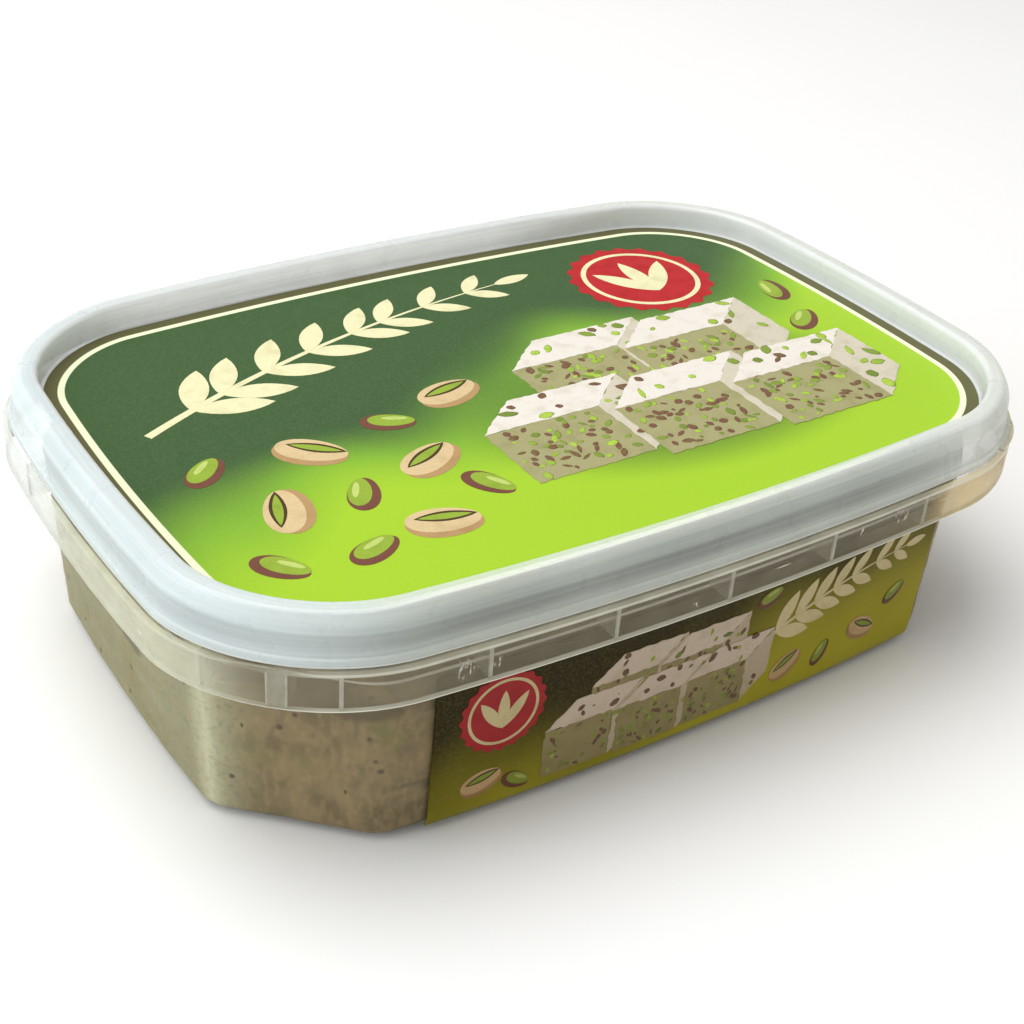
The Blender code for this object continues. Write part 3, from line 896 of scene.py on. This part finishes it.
def ink(name, shade=EVEN):
    """Flat printing ink whose colour is stored on the mesh, with the faint grain of a print, darkened by
    shade as painted shade.
    """
    look = Finish(name, IOR=1.5, Specular_IOR_Level=0.2)
    screen = look.cloud(0.3 * MM, detail=2.0)
    stain = look.cloud(3.0 * MM, detail=3.0)
    colour = look.stored("ink", "Color")
    darker = look.mix(1.0, colour, INK_STAIN, blend_type="MULTIPLY")
    colour = look.coats(colour,
                        (screen.remap(0.45, 0.75, 0.0, 0.4), darker),
                        (stain.remap(0.45, 0.75, 0.0, 0.5), darker))
    # painted shade on the side prints' inks
    colour = look.mix(1.0, colour, shade, blend_type="MULTIPLY")
    return look.finish(colour, stain.vary(0.38, 0.48))


def floor_paint(settings):
    look = Finish("pale floor", IOR=1.4, Specular_IOR_Level=0.2)
    grain = look.cloud(60.0 * MM)
    return look.finish(look.mix(grain, shaded(settings.floor, 0.99), settings.floor), grain.vary(0.7, 0.8))


# Pieces

def make_webs(settings):
    """Upright plates from the wall to the collar: thin ones along the sides and one near each corner."""
    inner = WALL_TOP_OFFSET - WEB_BITE
    outer = COLLAR_OFFSET - settings.wall + WEB_BITE
    low, high = COLLAR_LOW + WEB_BITE, LEDGE - settings.wall + WEB_BITE
    path = section((COLLAR_OFFSET - settings.wall + WALL_TOP_OFFSET) / 2, (low + high) / 2)
    start = min(range(len(path)), key=lambda index: (path[index].y > 0.0, abs(path[index].x)))
    path = path[start:] + path[:start]
    quarter = sum((b - a).length for a, b in zip(path, path[1:] + path[:1])) / 4
    ring = plain_object("web_path", path, [(index, (index + 1) % len(path)) for index in range(len(path))])
    runs = ((settings.long_webs, settings.long_pitch), (settings.short_webs, settings.short_pitch)) * 2
    thin = [quarter * side + pitch * (index - (count - 1) / 2)
            for side, (count, pitch) in enumerate(runs) for index in range(count)]
    wide = [quarter * side + settings.corner_place * way for side in (0, 2) for way in (-1, 1)]
    marks, corner_marks = [web_marks(name, [distance % (4 * quarter) for distance in distances])
                           for name, distances in (("web_marks", thin), ("corner_marks", wide))]
    web, corner_web = [web_plate(name, thickness, outer - inner, high - low)
                       for name, thickness in (("web", settings.web_thickness),
                                               ("wide_web", settings.corner_web_thickness))]
    piece = run_tree("collar_webs", marks, web_tree(), {
        "Path": ring, "Web": web, "Corner marks": corner_marks, "Corner web": corner_web,
        "Material": web_plastic()})
    for item in (ring, corner_marks, web, corner_web):
        discard(item)
    return piece


def web_marks(name, distances):
    """One point for each web, which stores how far round the path it belongs."""
    marks = plain_object(name, [(0.0, 0.0, 0.0)] * len(distances))
    marks.data.attributes.new("distance", "FLOAT", "POINT").data.foreach_set("value", distances)
    return marks


def web_plate(name, thickness, depth, height):
    """One web: a thin plate with softened edges. X is its thickness, and -Y points out to the collar.

    Each point stores how strongly its edge's painted highlight shows, from 0 inside the plate to 1 where it
    meets the collar.
    """
    body = bmesh.new()
    bmesh.ops.create_cube(body, size=1.0, matrix=Matrix.Diagonal((thickness, depth, height, 1.0)))
    edges = [edge for edge in body.edges if abs(edge.verts[0].co.z - edge.verts[1].co.z) < height / 2]
    bmesh.ops.bevel(body, geom=edges, offset=WEB_BEVEL, segments=2, affect="EDGES")
    for place in (thickness / 2 - WEB_RIM, WEB_RIM - thickness / 2):
        if thickness > 1.0 * MM:
            everything = body.verts[:] + body.edges[:] + body.faces[:]
            bmesh.ops.bisect_plane(body, geom=everything, plane_co=(place, 0, 0), plane_no=(1, 0, 0))
    store(body, "outer", [
        (0.5 - vert.co.y / depth) * (1.0 if abs(vert.co.x) > thickness / 2 - 0.97 * WEB_RIM else 0.94)
        for vert in body.verts])
    return placed(name, as_mesh(name, body))


def web_tree():
    """Plates along a closed path, one at each mark, with a second run of marks for the corners' plates."""
    tree = PieceTree("webs along a path", Path="Object", Web="Object", Corner_marks="Object",
                     Corner_web="Object", Material="Material")
    curve = tree.add("GeometryNodeMeshToCurve", {"Mesh": tree.shape("Path")})
    distance = tree.add("GeometryNodeInputNamedAttribute", {"Name": "distance"})["Attribute"]
    spot = tree.add("GeometryNodeSampleCurve", {"Curves": curve[0], "Length": distance}, mode="LENGTH")
    turn = tree.add("FunctionNodeAlignRotationToVector", {"Vector": spot["Tangent"]},
                    axis="X", pivot_axis="Z")
    joined = tree.tree.nodes.new("GeometryNodeJoinGeometry")
    for marks, label in ((tree.given["Geometry"], "Web"), (tree.shape("Corner marks"), "Corner web")):
        points = tree.add("GeometryNodeMeshToPoints", {"Mesh": marks, "Position": spot["Position"]})
        webs = tree.copies(points[0], tree.shape(label), turn[0])
        tree.tree.links.new(webs, joined.inputs[0])
    return tree.close(joined.outputs[0])


def scatter_tree():
    """Copies of one piece, spread at random over a surface and turned flat on it."""
    tree = PieceTree("pieces over a surface", Piece="Object", Density="Float", Spacing="Float", Seed="Int",
                     Least_size="Vector", Most_size="Vector", Material="Material")
    given = tree.given
    points = tree.add("GeometryNodeDistributePointsOnFaces", {
        "Mesh": given["Geometry"], "Density Max": given["Density"], "Distance Min": given["Spacing"],
        "Seed": given["Seed"]}, distribute_method="POISSON")
    spin = tree.add("FunctionNodeRandomValue", {2: 0.0, 3: 2.0 * math.pi, "Seed": 1})
    turn = tree.add("ShaderNodeCombineXYZ", {"Z": spin[1]})
    flat = tree.add("FunctionNodeRotateRotation", {"Rotation": points["Rotation"], "Rotate By": turn[0]},
                    rotation_space="LOCAL")
    size = tree.add("FunctionNodeRandomValue", {0: given["Least size"], 1: given["Most size"], "Seed": 2},
                    data_type="FLOAT_VECTOR")
    copies = tree.copies(points["Points"], tree.shape("Piece"), flat[0], Scale=size[0])
    tone = tree.add("FunctionNodeRandomValue", {2: 0.0, 3: 1.0, "Seed": 3})
    toned = tree.add("GeometryNodeStoreNamedAttribute", {
        "Geometry": copies, "Name": "tone", "Value": tone[1]}, domain="INSTANCE")
    return tree.close(toned[0])


def nut_piece():
    """A chopped bit of nut, about one unit long: a low lump with uneven sides."""
    body = bmesh.new()
    bmesh.ops.create_uvsphere(body, u_segments=9, v_segments=4, radius=0.5)
    for vert in body.verts:
        vert.co *= 1.0 + 0.35 * noise.noise(vert.co * 2.3 + Vector((4.0, 1.0, 7.0)))
    mesh = as_mesh("nut_piece", body)
    mesh.shade_smooth()
    return placed("nut_piece", mesh)


def make_tab(settings, material):
    """The lift tab that stands out of the skirt's lower edge at the front right corner."""
    first, last, steps = -66.0, -44.0, 14     # directions from the corner's centre, in degrees
    low, high, root = LID_BOX[0].z, 33.9 * MM, -0.4 * MM
    blunt = 0.12                              # how much of its bowed outline is left out at both ends
    loops, offsets = [], []
    for step in range(steps + 1):
        share = step / steps
        reach = settings.tab_reach * math.sin(math.pi * (blunt + (1.0 - 2.0 * blunt) * share)) ** 0.5
        line = [(root, high), (root, low), (reach - 0.2 * MM, low), (reach, low + 0.2 * MM),
                (reach, low + 0.5 * MM), (reach - 0.25 * MM, low + 0.7 * MM)]
        degrees = first + (last - first) * share
        loops.append([corner_point(degrees, offset, height) for offset, height in line])
        offsets += [offset for offset, height in line]
    body = bmesh.new()
    add_loops(body, loops)
    store(body, "outset", offsets)
    return finished("lift_tab", body, material)


def make_halva(tub, settings):
    """The pressed contents, which reach just into the tub's wall and have a crumbly top.

    Each point stores how near it lies to a painted highlight line beside a cut corner, up to 1 on it.
    """
    line = wall_line(HALVA_BITE - tub.wall, FILL_LEVEL - HALVA_EDGE, rows=26)
    edge_offset, edge_height, cut = line[-1]
    soft_round = arc_line((edge_offset - HALVA_EDGE, edge_height), HALVA_EDGE, 15.0, 90.0, steps=5)
    line += [(*place, cut) for place in soft_round]
    body = bmesh.new()
    add_loops(body, [section(*place) for place in line], inner_rings=22)
    # how strongly the painted highlight beside a cut corner shows at each point round a section
    upright_highlights = []
    middle, spread = ARC_STEPS * 0.6, ARC_STEPS * 0.7
    for index in range(SECTION_POINTS):
        corner, step = divmod(index, CORNER_STEPS + SIDE_STEPS)
        step = step if corner % 2 == 0 else CORNER_STEPS - step
        upright_highlights.append(max(0.0, 1.0 - abs(step - middle) / spread) ** 1.3)
    store(body, "upright", upright_highlights * len(line))
    body.normal_update()
    moves = []
    for vert in body.verts:
        coarse, fine = noise.noise(vert.co * DENTS), noise.noise(vert.co * CRUMBS)
        top = vert.co.z > FILL_LEVEL - 0.2 * MM
        depth = settings.relief * (0.5 + 0.35 * coarse + 0.3 * fine) * (TOP_ROUGHNESS if top else 1.0)
        moves.append(vert.normal * -max(0.0, depth))
    for vert, move in zip(body.verts, moves):
        vert.co += move
    return finished("pressed_halva", body, halva_paste(settings))


def make_kernels(tub, settings):
    """Bits of pistachio that lie in the halva's side, flush with it behind the clear wall."""
    sunk, lowest, highest = 0.05 * MM, 1.5 * MM, FILL_LEVEL - 2.0 * MM
    line = wall_line(sunk - tub.wall, highest, rows=8)
    rows = [section(*place) for place in line if place[1] > lowest]
    body = bmesh.new()
    rings = [[body.verts.new(point) for point in row] for row in rows]
    for ring, following in zip(rings, rings[1:]):
        band(body, ring, following)
    wall = placed("kernel_wall", as_mesh("kernel_wall", body))
    kernel, size = nut_piece(), settings.kernel_size
    piece = run_tree("halva_kernels", wall, scatter_tree(), {
        "Piece": kernel, "Density": settings.kernel_density, "Spacing": 5.0 * MM, "Seed": settings.seed,
        "Least size": (size * 0.35, size * 0.3, 0.6 * MM),
        "Most size": (size * 1.2, size * 0.75, 0.75 * MM),
        "Material": nut_flesh("pistachio in halva", settings.kernel, NUT_SKIN_IN_HALVA, 0.4)})
    discard(kernel)
    return piece


# Prints

SIDE_PAINTED_SHADE = (0.62, 0.53, 0.44)   # painted shade: the side prints' inks are this much darker than the lid's
CREAM = srgb(240, 236, 190)
RED = srgb(190, 38, 44)
BLOCK_TOP = srgb(238, 231, 222)
BLOCK_FRONT = srgb(168, 164, 118)
BLOCK_SIDE = srgb(214, 206, 186)
NUT_SKIN = srgb(120, 76, 62)
NUT_GREEN = srgb(150, 178, 62)
NUT_LIGHT = srgb(196, 214, 118)
SHELL = srgb(222, 196, 150)
SHELL_SHADE = srgb(186, 150, 104)
SLIT = srgb(78, 60, 34)

# Where a print's motifs lie and how large they are, in millimetres. A nut has a direction in degrees
LID_MOTIFS = {
    "blocks": ((0.0, -10.0), (20.0, -11.5), (-14.0, -24.5), (7.0, -26.5), (28.0, -28.0)), "block": 19.5,
    "shells": ((-24, -12, 25), (-37, -3, -40), (-47, -15, 70), (-30, -26, -15), (-12, 3, 12)),
    "shell": 10.5,
    "kernels": ((-36, -16, 60), (-24, -1, -25), (-52, -2, 40), (-41, -28, 20), (-53, -26, -50),
                (-20, -21, -60), (53, -2, 40), (56, 9, 75)), "kernel": 8.0,
    "sprig": (-55.0, 10.0, 14.0, 31.0), "sag": -7.0, "pairs": 8, "leaf": 12.5, "stem": 1.3,
    "seal": (38.0, 22.5, 12.5)}
SIDE_MOTIFS = {
    "blocks": ((-19.5, 8.6), (-8.0, 8.2), (-26.5, 3.4), (-14.5, 3.2), (-2.5, 3.4)), "block": 11.0,
    "shells": ((17, 7, 30), (33, 8, -25), (-36, 6.5, 15)), "shell": 6.4,
    "kernels": ((24.5, 6.2, 60), (39, 12, 35), (-30.5, 4.6, -30), (11, 21, 20)), "kernel": 4.8,
    "sprig": (10.0, 12.5, 39.0, 20.5), "sag": -3.0, "pairs": 7, "leaf": 7.5, "stem": 0.8,
    "seal": (-33.5, 17.5, 6.6)}


def oval(centre, length, width, degrees=0.0, count=26, pinch=0.0):
    """An oval outline. pinch narrows its far end."""
    turn = Matrix.Rotation(math.radians(degrees), 2)
    points = []
    for step in range(count):
        angle = 2.0 * math.pi * step / count
        across = width / 2 * math.sin(angle) * (1.0 - pinch * math.cos(angle))
        points.append(Vector(centre) + turn @ Vector((length / 2 * math.cos(angle), across)))
    return points


def scallop(centre, radius, lobes, depth):
    """A round outline with a soft scalloped edge."""
    points = []
    for step in range(lobes * 8):
        angle = 2.0 * math.pi * step / (lobes * 8)
        reach = radius - depth * (0.5 - 0.5 * math.cos(lobes * angle))
        points.append(centre + reach * Vector((math.cos(angle), math.sin(angle))))
    return points


def leaf(base, degrees, length, width, steps=10):
    """A pointed leaf that starts at base and runs in this direction."""
    turn = Matrix.Rotation(math.radians(degrees), 2)
    shares = [step / steps for step in range(steps + 1)]
    upper = [Vector((length * share, width / 2 * math.sin(math.pi * share) ** 0.8)) for share in shares]
    lower = [Vector((point.x, -point.y)) for point in reversed(upper[1:-1])]
    return [Vector(base) + turn @ point for point in upper + lower]


def stroke(points, width):
    """An outline of even width along a run of points, drawn to a point at its far end."""
    left, right = [], []
    for index, point in enumerate(points):
        before, after = points[max(index - 1, 0)], points[min(index + 1, len(points) - 1)]
        along = (after - before).normalized()
        side = Vector((-along.y, along.x)) * (width / 2 * (1.0 - 0.85 * index / (len(points) - 1)))
        left.append(point + side)
        right.append(point - side)
    return left + right[::-1]


def crumbled(corners, draw, step=0.8 * MM, depth=0.16 * MM):
    """An outline with straight sides between its corners, roughened like a cut crumbly edge."""
    points = []
    for here, there in zip(corners, corners[1:] + corners[:1]):
        run = there - here
        pieces = max(2, round(run.length / step))
        side = Vector((run.y, -run.x)).normalized()
        for index in range(pieces):
            wobble = draw.uniform(-depth, depth) if index else 0.0
            points.append(here + run * (index / pieces) + side * wobble)
    return points


def block(corner, size, level, draw):
    """A cut cube of halva drawn at a slant: its crumbly front, its right side and its top."""
    corner = Vector(corner)
    width, height = Vector((size, 0.0)), Vector((0.0, size * 0.72))
    back = Vector((size * 0.42, size * 0.36))
    front = [corner, corner + width, corner + width + height, corner + height]
    top = [corner + height, corner + width + height, corner + width + height + back, corner + height + back]
    side = [corner + width, corner + width + back, corner + width + height + back, corner + width + height]
    return [(crumbled(front, draw), BLOCK_FRONT, level), (crumbled(side, draw), BLOCK_SIDE, level + 0.25),
            (crumbled(top, draw), BLOCK_TOP, level + 0.5)]


def kernel_drawing(centre, length, degrees):
    """A shelled pistachio: its skin, its flesh and the light along it."""
    centre = Vector(centre)
    ahead = Matrix.Rotation(math.radians(degrees), 2) @ Vector((length * 0.06, length * 0.07))
    return [(oval(centre, length, length * 0.56, degrees, pinch=0.12), NUT_SKIN, 0),
            (oval(centre + ahead, length * 0.84, length * 0.40, degrees, pinch=0.12), NUT_GREEN, 1),
            (oval(centre + ahead * 2.0, length * 0.46, length * 0.12, degrees), NUT_LIGHT, 2)]


def shell_drawing(centre, length, degrees):
    """A pistachio in its shell, with the shell split along one side."""
    turn = Matrix.Rotation(math.radians(degrees), 2)
    centre = Vector(centre)
    below = turn @ Vector((0.0, -length * 0.08))
    slit_start = centre + turn @ Vector((-length * 0.36, length * 0.07))
    inner_start = slit_start + turn @ Vector((length * 0.05, 0.0))
    return [(oval(centre + below, length, length * 0.60, degrees, pinch=0.1), SHELL_SHADE, 0),
            (oval(centre, length * 0.97, length * 0.52, degrees, pinch=0.1), SHELL, 1),
            (leaf(slit_start, degrees, length * 0.82, length * 0.22), SLIT, 2),
            (leaf(inner_start, degrees, length * 0.70, length * 0.13), NUT_GREEN, 3)]


def sprig_drawing(start, end, sag, pairs, length, width, steps=24):
    """A cream sprig: a curved stem with pairs of leaves that get smaller, and one at the tip."""
    across = Vector((end.y - start.y, start.x - end.x)).normalized() * sag
    middle = start.lerp(end, 0.5) + across
    shares = [step / steps for step in range(steps + 1)]
    stem = [start * (1 - s) ** 2 + middle * 2 * s * (1 - s) + end * s ** 2 for s in shares]
    shapes = [(stroke(stem, width), CREAM, 0)]
    for pair in range(pairs):
        share = (pair + 0.9) / (pairs + 0.6)
        index = round(share * steps)
        heading = direction(stem[min(index + 1, steps)] - stem[index - 1])
        size = length * (1.0 - 0.45 * share)
        for side, turn in enumerate((38.0, -38.0)):
            level = 1 + side + 2 * (pair % 2)
            shapes.append((leaf(stem[index], heading + turn, size, size * 0.36), CREAM, level))
    tip = leaf(stem[-1], direction(stem[-1] - stem[-3]), length * 0.6, length * 0.2)
    return shapes + [(tip, CREAM, 5)]


def direction(run):
    """The direction of a run, in degrees."""
    return math.degrees(math.atan2(run.y, run.x))


def seal_drawing(centre, radius):
    """A plain round seal: scalloped edge, a cream ring, and three leaves in the middle."""
    base = centre + Vector((0.0, -radius * 0.42))
    shapes = [(scallop(centre, radius, 20, radius * 0.07), RED, 0),
              (oval(centre, radius * 1.62, radius * 1.62, count=48), CREAM, 1),
              (oval(centre, radius * 1.48, radius * 1.48, count=48), RED, 2)]
    for level, degrees in enumerate((55.0, 90.0, 125.0)):
        shapes.append((leaf(base, degrees, radius * 0.95, radius * 0.26), CREAM, 3 + level))
    return shapes


def drawing(motifs, draw):
    """A print's cut halva, and its nuts, its sprig and its seal. Each shape has a colour and a level."""
    blocks, others = [], []
    for level, (x, y) in enumerate(motifs["blocks"]):
        blocks += block((x * MM, y * MM), motifs["block"] * MM, level, draw)
    for x, y, degrees in motifs["shells"]:
        others += shell_drawing((x * MM, y * MM), motifs["shell"] * MM, degrees)
    for x, y, degrees in motifs["kernels"]:
        others += kernel_drawing((x * MM, y * MM), motifs["kernel"] * MM, degrees)
    start_x, start_y, end_x, end_y = [place * MM for place in motifs["sprig"]]
    others += sprig_drawing(Vector((start_x, start_y)), Vector((end_x, end_y)), motifs["sag"] * MM,
                            motifs["pairs"], motifs["leaf"] * MM, motifs["stem"] * MM)
    x, y, radius = [value * MM for value in motifs["seal"]]
    return blocks, others + seal_drawing(Vector((x, y)), radius)


def plates(name, shapes, surface, lift, rise, material):
    """Thin plates of ink bent onto a surface. Each shape has an outline, a colour and a level."""
    body = bmesh.new()
    tint = body.loops.layers.float_color.new("ink")
    inked = {}
    for outline, colour, level in shapes:
        top = [body.verts.new(surface(point.x, point.y, lift + rise * level)) for point in outline]
        low = [body.verts.new(surface(point.x, point.y, -INK_SUNK)) for point in outline]
        inked.update({vert: (*colour, 1.0) for vert in top + low})
        body.faces.new(top)
        body.faces.new(low[::-1])
        band(body, low, top)
    body.normal_update()
    bmesh.ops.triangulate(body, faces=[face for face in body.faces if len(face.verts) > 4])
    bmesh.ops.recalc_face_normals(body, faces=body.faces)
    for face in body.faces:
        for corner in face.loops:
            corner[tint] = inked[corner.vert]
    piece = finished(name, body, material)
    piece.data.shade_flat()
    return piece


def speckle(name, shapes, surface, lift, size, cover, seed, skin_share, shade):
    """Flecks of nut over drawn faces, each set on its face and kept clear of the face's edges."""
    points, faces = [], []
    for outline, _, level in shapes:
        middle = sum(outline, Vector((0.0, 0.0))) / len(outline)
        faces.append(range(len(points), len(points) + len(outline)))
        for point in outline:
            near = point.lerp(middle, 0.12)
            points.append(surface(near.x, near.y, lift + BLOCK_RISE * level))
    field = plain_object("fleck_field", points, faces=faces)
    fleck = nut_piece()
    # the flecks take the same painted shade as the inks
    green, skin = [tuple(a * b for a, b in zip(colour, shade)) for colour in (NUT_GREEN, NUT_SKIN)]
    made = run_tree(name, field, scatter_tree(), {
        "Piece": fleck, "Density": cover / size ** 2, "Spacing": size * 0.5, "Seed": seed,
        "Least size": (size * 0.4, size * 0.35, FLECK_HEIGHT),
        "Most size": (size * 1.4, size * 0.9, FLECK_HEIGHT),
        "Material": nut_flesh("printed flecks", green, skin, skin_share)})
    discard(fleck)
    return made


def attach_motifs(name, motifs, draw, surface, lift, fleck, cover, slot, material, shade=EVEN):
    """Makes a print's plates of ink and the flecks on its blocks, and attaches them.

    Small flecks lie close together on the blocks' fronts, and larger ones far apart on the other faces.
    """
    blocks, others = drawing(motifs, draw)
    fronts = [shape for shape in blocks if shape[1] is BLOCK_FRONT]
    faces = [shape for shape in blocks if shape[1] is not BLOCK_FRONT]
    attach(plates(name + "_blocks", blocks, surface, lift, BLOCK_RISE, material), slot)
    attach(plates(name + "_motifs", others, surface, lift, INK_RISE, material), slot)
    pieces = (speckle(name + "_flecks", fronts, surface, lift, fleck * 0.75, cover * 1.1, 3, 0.4, shade),
              speckle(name + "_nuts", faces, surface, lift, fleck * 1.1, cover * 0.45, 4, 0.35, shade))
    for piece in pieces:
        attach(piece, slot)


def lid_surface(x, y, lift):
    return Vector((x, y, PANEL + lift))


def side_surface(side):
    """Bends a drawing onto a long side's film. side is 1 for the front and -1 for the back."""
    def bend(x, y, lift):
        offset = FOOT_OFFSET + FILM_FAR + lift + WALL_SLOPE * (y - FOOT_ROUND)
        point = side_point(x + MOTIF_SHIFT, offset, y)
        return Vector((side * point.x, side * point.y, point.z))
    return bend


def make_lid_film(settings):
    """The lid's film, with each point's distance from the film's edge stored on it."""
    gap, depth = 0.03 * MM, 0.25 * MM         # beside the film, and under its solid
    edge_offset = PANEL_OFFSET - gap
    insets = [0.0, settings.border, settings.border + settings.line]
    insets += [6.0 * MM, 10.0 * MM, 14.0 * MM, 17.0 * MM]
    loops = [section(edge_offset, LID_LABEL_BOX[0].z - depth)]
    loops += [section(edge_offset - inset, PANEL) for inset in insets]
    body = bmesh.new()
    add_loops(body, loops)
    store(body, "inset", [inset for inset in [0.0] + insets for _ in range(SECTION_POINTS)])
    return finished("lid_film", body, lid_film(settings))


def make_side_film(name, side, material, columns=90, rows=10):
    """A film over a long side: a thin curved plate, with the distances along and up it as its UV map."""
    near = wall_line(FILM_NEAR, LABEL_TOP, LABEL_FOOT_ANGLE, rows)
    far = wall_line(FILM_FAR, LABEL_TOP, LABEL_FOOT_ANGLE, rows)
    loops = []
    for column in range(columns + 1):
        along = FILM_FIRST + (FILM_LAST - FILM_FIRST) * column / columns
        points = [side_point(along, offset, height) for offset, height, _ in far + near[::-1]]
        loops.append([Vector((side * point.x, side * point.y, point.z)) for point in points])
    body = bmesh.new()
    add_loops(body, loops)
    grain = body.loops.layers.uv["grain"]
    for face in body.faces:
        for corner in face.loops:
            corner[grain].uv = (side * corner.vert.co.x, corner.vert.co.z)
    return finished(name, body, material)


# Operators

class HALVA_OT_tub(bpy.types.Operator):
    """Make the clear tub with its foot, wall, flange, collar and rim"""
    bl_idname = "halva.tub"
    bl_label = "Clear tub"

    def execute(self, context):
        settings = context.scene.halva_tub
        attach(shell("clear_tub", tub_line(settings.wall), clear_plastic(settings)), "tub_plastic", "tub")
        return {"FINISHED"}


class HALVA_OT_webs(bpy.types.Operator):
    """Make the webs between the wall and the collar"""
    bl_idname = "halva.webs"
    bl_label = "Collar webs"

    def execute(self, context):
        attach(make_webs(context.scene.halva_tub), "tub_plastic")
        return {"FINISHED"}


class HALVA_OT_lid(bpy.types.Operator):
    """Make the milky lid and its lift tab"""
    bl_idname = "halva.lid"
    bl_label = "Milky lid"

    def execute(self, context):
        settings = context.scene.halva_lid
        material = milky_plastic(settings)
        outside, inside = lid_line(settings.wall)
        attach(shell("milky_lid", outside, material, inside), "lid_plastic", "lid")
        attach(make_tab(settings, material), "lid_plastic")
        return {"FINISHED"}


class HALVA_OT_contents(bpy.types.Operator):
    """Make the pressed halva and the bits of pistachio in its side"""
    bl_idname = "halva.contents"
    bl_label = "Halva"

    def execute(self, context):
        tub, settings = context.scene.halva_tub, context.scene.halva_contents
        attach(make_halva(tub, settings), "halva", "halva")
        attach(make_kernels(tub, settings), "halva")
        return {"FINISHED"}


class HALVA_OT_lid_print(bpy.types.Operator):
    """Make the lid's film with its motifs"""
    bl_idname = "halva.lid_print"
    bl_label = "Lid print"

    def execute(self, context):
        settings = context.scene.halva_prints
        attach(make_lid_film(settings), "lid_print", "lid_label")
        attach_motifs("lid", LID_MOTIFS, random.Random(5), lid_surface, LID_INK_LIFT, 2.2 * MM,
                      settings.fleck_cover, "lid_print", ink("lid inks"))
        return {"FINISHED"}


class HALVA_OT_side_prints(bpy.types.Operator):
    """Make the films on both long sides with their motifs"""
    bl_idname = "halva.side_prints"
    bl_label = "Side prints"

    def execute(self, context):
        settings = context.scene.halva_prints
        film, inks = side_film(settings), ink("side inks", SIDE_PAINTED_SHADE)
        for name, side in (("front", 1.0), ("back", -1.0)):
            attach(make_side_film(name + "_film", side, film), "side_print", name + "_label")
            attach_motifs(name, SIDE_MOTIFS, random.Random(6), side_surface(side), SIDE_INK_LIFT, 1.3 * MM,
                          settings.fleck_cover, "side_print", inks, SIDE_PAINTED_SHADE)
        return {"FINISHED"}


class HALVA_OT_stage(bpy.types.Operator):
    """Make the pale floor, the soft lights and the camera"""
    bl_idname = "halva.stage"
    bl_label = "Stage"

    def execute(self, context):
        settings = context.scene.halva_stage
        corners = [(x * FLOOR_REACH, y * FLOOR_REACH, 0.0) for x, y in ((-1, -1), (1, -1), (1, 1), (-1, 1))]
        floor = plain_object("floor", corners, faces=[(0, 1, 2, 3)])
        floor.data.materials.append(floor_paint(settings))
        add_lamp("key lamp", (-0.2, 0.2, 0.86), 0.8, settings.key_power, (1.0, 0.99, 0.97))
        add_lamp("side lamp", (-0.8, 0.1, 0.35), 0.6, settings.side_power, (0.86, 0.94, 1.0))
        add_sky(context.scene, settings.sky)
        add_camera(context.scene)
        context.scene.view_settings.view_transform = "Standard"
        return {"FINISHED"}


def add_lamp(name, place, size, power, colour):
    """A square soft lamp that faces the tub."""
    lamp = bpy.data.lights.new(name, "AREA")
    lamp.energy = power
    lamp.size = size
    lamp.color = colour
    item = placed(name, lamp)
    item.location = place
    item.rotation_euler = (-Vector(place)).to_track_quat("-Z", "Y").to_euler()


def add_sky(scene, strength):
    world = bpy.data.worlds.new("even light")
    world.use_nodes = True
    background = world.node_tree.nodes["Background"]
    background.inputs["Color"].default_value = (1.0, 0.985, 0.96, 1.0)
    background.inputs["Strength"].default_value = strength
    scene.world = world


def add_camera(scene):
    """The photograph's view: its place, heading from +Y towards +X, tilt, roll and focal length."""
    place = (-123.90 * MM, -173.02 * MM, 148.84 * MM)
    heading, tilt, roll = 35.411, -32.574, 4.277
    camera = bpy.data.cameras.new("camera")
    camera.lens = 57.244
    camera.sensor_width = 36.0
    camera.clip_start = 5.0 * MM
    turns = [Matrix.Rotation(math.radians(degrees), 4, axis)
             for degrees, axis in ((-heading, "Z"), (90.0 + tilt, "X"), (roll, "Z"))]
    scene.camera = placed("camera", camera)
    scene.camera.matrix_world = Matrix.Translation(place) @ turns[0] @ turns[1] @ turns[2]


class HALVA_PT_panel(bpy.types.Panel):
    """Lists the tub's pieces in the order in which they are made"""
    bl_label = "Halva tub"
    bl_space_type = "VIEW_3D"
    bl_region_type = "UI"
    bl_category = "Halva tub"

    def draw(self, context):
        for name, _, steps in STEPS:
            box = self.layout.box()
            settings = getattr(context.scene, name)
            for step in steps:
                box.operator(step.bl_idname)
            for setting in settings.bl_rna.properties.keys():
                if setting not in ("name", "rna_type"):
                    box.prop(settings, setting)


# Each group of settings, under its name in the scene, with the operators that use it
STEPS = (("halva_tub", TubSettings, (HALVA_OT_tub, HALVA_OT_webs)),
         ("halva_lid", LidSettings, (HALVA_OT_lid,)),
         ("halva_contents", HalvaSettings, (HALVA_OT_contents,)),
         ("halva_prints", PrintSettings, (HALVA_OT_lid_print, HALVA_OT_side_prints)),
         ("halva_stage", StageSettings, (HALVA_OT_stage,)))
CLASSES = [item for _, group, steps in STEPS for item in (group, *steps)] + [HALVA_PT_panel]


def register():
    for item in CLASSES:
        bpy.utils.register_class(item)
    for name, group, _ in STEPS:
        setattr(bpy.types.Scene, name, PointerProperty(type=group))


def unregister():
    for name, _, _ in reversed(STEPS):
        delattr(bpy.types.Scene, name)
    for item in reversed(CLASSES):
        bpy.utils.unregister_class(item)


def main():
    register()
    bpy.ops.halva.tub()
    bpy.ops.halva.webs()
    bpy.ops.halva.lid()
    bpy.ops.halva.contents()
    bpy.ops.halva.lid_print()
    bpy.ops.halva.side_prints()
    bpy.ops.halva.stage()


if __name__ == "__main__":
    main()
